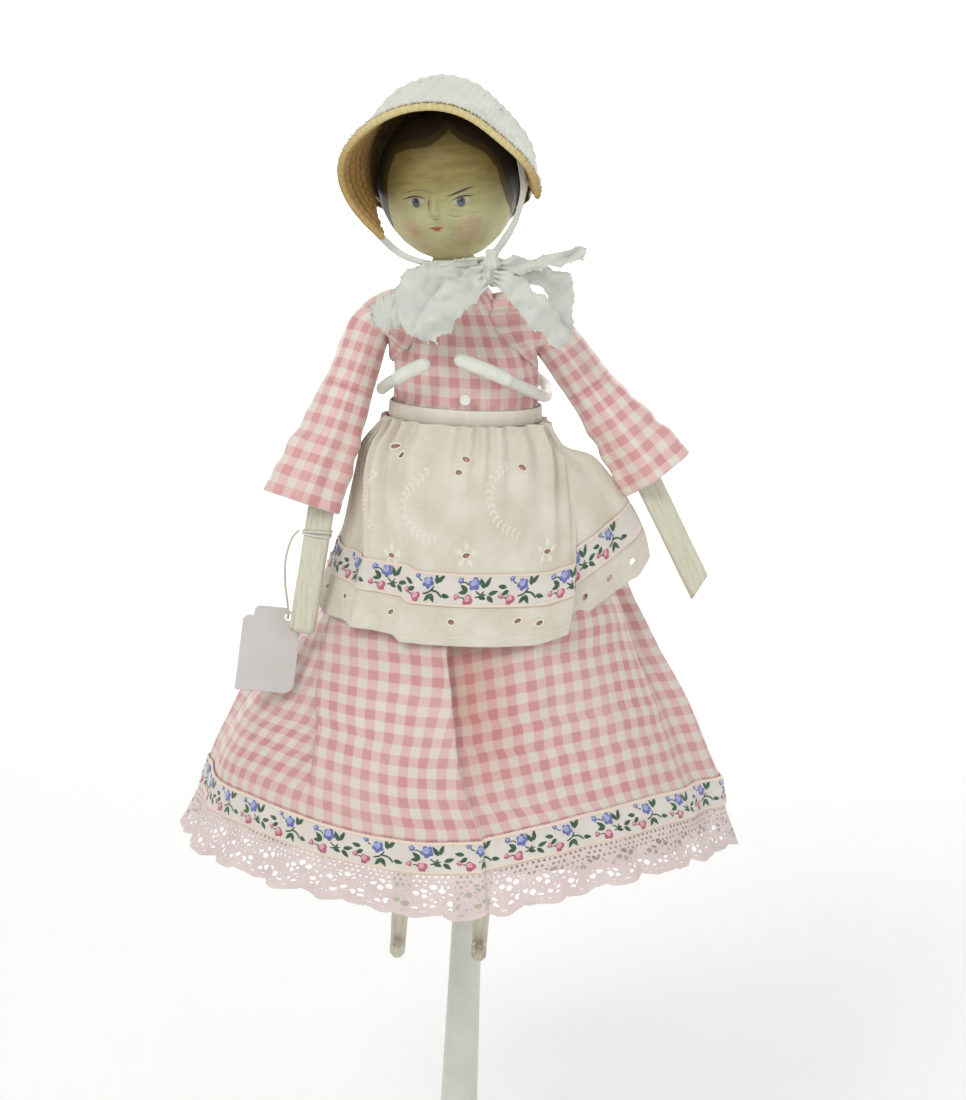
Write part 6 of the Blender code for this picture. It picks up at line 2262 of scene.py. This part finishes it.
BOW = {
    # name: (upper or outer edge, lower or inner edge, how deep it waves in mm, CAD nodes it stands for)
    "loop_front_right": (
        [(-3.5, -54.8, 354.2), (-10, -54.5, 353.0), (-17, -54, 352.0), (-24, -52, 350.2),
         (-28.6, -51, 345.8), (-29.8, -51.5, 340), (-28.8, -52.5, 334.5), (-26.0, -53.6, 329.6)],
        [(-3.5, -55.4, 348.6), (-7.6, -56, 344.8), (-11.6, -56.5, 342.0), (-14.6, -56.8, 339.2),
         (-16.6, -57, 336.4), (-17.8, -57, 333.4), (-18.6, -56.8, 330.6), (-19.4, -56.4, 327.6)],
        1.3, ["bow_loop_right"],
    ),
    "tail_front_right": (
        [(-3.8, -57.6, 352.0), (-11, -59.4, 349.0), (-17, -60.4, 343.6), (-21.6, -60.0, 337.4),
         (-24.0, -58.8, 330.6)],
        [(-1.8, -57.2, 345.4), (-5.4, -58.8, 341.2), (-9.8, -59.4, 336.4), (-13.2, -59.4, 332.2),
         (-16.6, -58.8, 327.8)],
        1.2, [],
    ),
    "spike_left": (
        [(-1, -54, 354.0), (7.4, -53.5, 353.8), (15, -52, 355.0), (22, -50.5, 356.8), (27.4, -50, 357.4)],
        [(0.5, -54.6, 349.4), (8, -54.6, 349.6), (14, -53.5, 350.6), (20, -52, 352.4), (26.6, -50.5, 354.0)],
        0.7, ["bow_loop_left"],
    ),
    "loop_back_left": (
        [(2, -52.4, 351.5), (14, -50, 351.6), (21.4, -48, 350.4), (24.4, -47, 345), (24.2, -47, 338),
         (24.8, -48, 329.0)],
        [(3, -52.4, 347), (11, -50.5, 346.2), (15.4, -49.5, 344), (17, -49.5, 340), (17.4, -50, 334),
         (19.6, -50.5, 328.0)],
        0.8, [],
    ),
    "tail_front_left": (
        [(-0.6, -57, 350.4), (6, -57.5, 349.2), (13, -56.5, 345), (19, -54.5, 338.4), (24.4, -51.5, 329.8)],
        [(-0.4, -57, 346.2), (4.4, -57.5, 342.2), (8.6, -57, 337.2), (13.4, -55.5, 332),
         (20.2, -52.4, 326.8)],
        1.0, ["bow_tail_left"],
    ),
    "shoulder_piece": (
        [(-38.4, -40.4, 335.6), (-34.6, -41.4, 338.2), (-31.4, -42.6, 340.4), (-27.6, -45.6, 342.0)],
        [(-37.6, -44.4, 331.4), (-34.0, -46.0, 329.6), (-30.6, -47.6, 330.6), (-26.4, -49.4, 333.6)],
        0.4, ["bow_tail_right"],
    ),
}
TIES = {
    "right": [
        (-38.4, -47.5, 362.0), (-36.6, -48, 359.0), (-32.2, -48.6, 355.0), (-27.4, -49.4, 352.2),
        (-20, -51.4, 350.6), (-12, -53, 350.8), (-5, -55, 351.4),
    ],
    "left": [
        (5.3, -40, 386.6), (7.2, -41.2, 379.6), (7.8, -42.8, 373.0), (5.8, -46.6, 364.6),
        (2.6, -50.2, 358.8), (-0.6, -53.4, 354.4),
    ],
}


def bow_cloth():
    """Fine white lawn ribbon: a close crosswise rib, creased, with patches of slightly blue painted shade
    standing for the shade in its folds.
    """
    cloth = Paint("white_lawn_ribbon", 0.62, Sheen_Weight=0.25)
    uv = cloth.coordinates()
    u = cloth.parts(uv)[0]
    rib = cloth.maths("SINE", cloth.times(u, math.tau / 0.4))
    # The second, greyer and bluer tone is painted shade, laid in noise patches.
    cloth.base(cloth.tones(cloth.noise(uv, 0.16, 3.0), (216, 217, 203), (199, 205, 201), 0.32))
    crush = cloth.noise(cloth.scaled(uv, (0.5, 1.4, 1)), 0.7, 3.0)
    cloth.relief(cloth.maths("MULTIPLY_ADD", rib, 0.12, crush), 0.22, 0.8)
    return cloth.made


def bow(white):
    """The tied bow with its beaded edges, the two ties up to the bonnet, and the knot."""
    lawn = bow_cloth()
    beads, pieces = [], []
    for name, (first, second, deep, replaced) in BOW.items():
        a, b = spline(first, 110), spline(second, 110)
        share = np.linspace(0, 1, 26)[:, None, None]
        run = np.linspace(0, 1, 110)[None, :, None]
        points = a[None] * (1 - share) + b[None] * share
        length = length_of(a)
        # Each piece's name gives it crumples of its own.
        seed = sum(map(ord, name)) % 17
        rise = np.sin(math.pi * share) * np.sin(math.tau * (run * length / 15 + seed / 7)) * deep
        rise = rise + 0.5 * deep * np.sin(math.tau * (share * 1.3 + run * 2 + seed / 5))
        gather = (1 - step01(run, 0, 0.16)) * np.sin(share * math.tau * 3.2) * 0.9
        points = points + (rise * 0.9 + gather) * np.array([0.1, -1.0, 0.15])
        crumple = [noises(lambda p: Vector(p) * pitch, points.reshape(-1, 3)) for pitch in (0.12, 0.3)]
        crumple = (crumple[0] + 0.4 * crumple[1]).reshape(26, 110)
        flutter = noises(lambda side, k: (k * 0.055, seed + side, 5.0), (0, 9), range(110))
        near, far = flutter[:, :, None]
        edges = (near * (1 - share) ** 2 - far * share**2) * unit(b - a)
        fading = step01(run, 0.04, 0.2)
        points = points + (crumple[..., None] * np.array([0.2, -2.6, 0.5]) + edges * 2.4) * fading
        if name == "shoulder_piece":
            zigzag = 0.9 * np.abs((np.linspace(0, 9, 110) % 1) * 2 - 1)[None, :, None]
            points = points + zigzag * (1 - 2 * share) * np.array([0, 0, 1.0]) * np.abs(1 - 2 * share)
        uv = uv_grid(np.linspace(0, length, 110), np.linspace(0, 8, 26))
        made = thicken(grid_object(f"bow_{name}", points, lawn, uv), 0.3)
        put(made, "doll", "white_cotton", *replaced)
        for line in (points[0], points[-1]):
            spots = spline(line, max(4, int(length_of(line) / 2.9)))
            beads += [ball(p + (0, -0.15, 0), 0.42) for p in spots[2:]]
        beads += [ball(p, 0.4) for p in spline(points[:, -1], 4)]
        pieces.append(made)
    for side, route in TIES.items():
        line = spline(route, 80)
        width = 3.0 + 0.4 * np.sin(np.linspace(0, 9, 80))
        # The ribbon lies flat to the head, so its width runs across the way out from the head's middle.
        out = unit(line - np.array([-15.8, -25, 372]))
        across = unit(np.cross(unit(np.gradient(line, axis=0)), out))
        share = np.linspace(-0.5, 0.5, 11)[:, None, None]
        fold = 0.45 * np.cos(share * math.tau) * out[None]
        points = line[None] + across[None] * share * width[None, :, None] + fold
        uv = uv_grid(np.linspace(0, length_of(line), 80), np.linspace(0, 3, 11))
        made = thicken(grid_object(f"bonnet_tie_ribbon_{side}", points, lawn, uv), 0.3)
        pieces.append(put(made, "doll", "white_cotton", f"bonnet_tie_{side}"))
    pieces.append(knot(lawn))
    pieces.append(put(joined("bow_picot_beads", beads, white), "doll", "white_cotton"))
    return pieces


def knot(lawn):
    """Ribbon wrapped twice round the crossing."""
    turn = np.linspace(0, math.tau, 40, endpoint=False)
    rows = []
    for f in np.linspace(0, 1, 25):
        waist = 0.72 + 0.28 * math.cos(math.tau * f) ** 2
        waist *= 0.35 + 0.65 * math.sin(math.pi * (0.08 + 0.84 * f)) ** 0.6
        r = (2.5 + 0.3 * np.sin(turn * 7 + 5 * f)) * waist
        x, y = 1.15 * r * np.sin(turn) + 1.2 * (f - 0.5) - 1.6, -55.8 - r * np.cos(turn)
        rows.append(np.stack([x, y, np.full(40, 347.2 + 9.2 * f)], -1))
    uv = uv_grid(np.linspace(0, 16, 41), np.linspace(0, 9, 25))
    made = grid_object("bow_wrapped_knot", np.array(rows[::-1]), lawn, uv, wrap=True, caps=True)
    return put(made, "doll", "white_cotton", "bow_knot")


camera_and_stage()
tag_and_string()
stand()
limbs()
head()
face()
cream = cotton("eyelet_cotton", linear(222, 218, 204), linear(202, 192, 174))
satin = cotton("cream_satin_stitch", linear(232, 229, 216), linear(220, 215, 199), 0.24, slubs=False)
white = cotton("white_cotton", linear(220, 221, 209), linear(202, 204, 192))
skirt = Skirt()
dress(skirt)
petticoat(skirt, cream)
trunk_oval = Oval("bodice", above=[(345, -12.5, 8.0, 7.6)])
eyelet_apron(skirt, cream, satin, waistband(trunk_oval, satin))
gingham_top = gingham()
bodice_piece(trunk_oval, gingham_top, white)
for side in ARMS:
    sleeve(side, gingham_top, trunk_oval)
crown_cloth, brim_cloth, brim_beads = bonnet(white)
ribbons = bow(white)
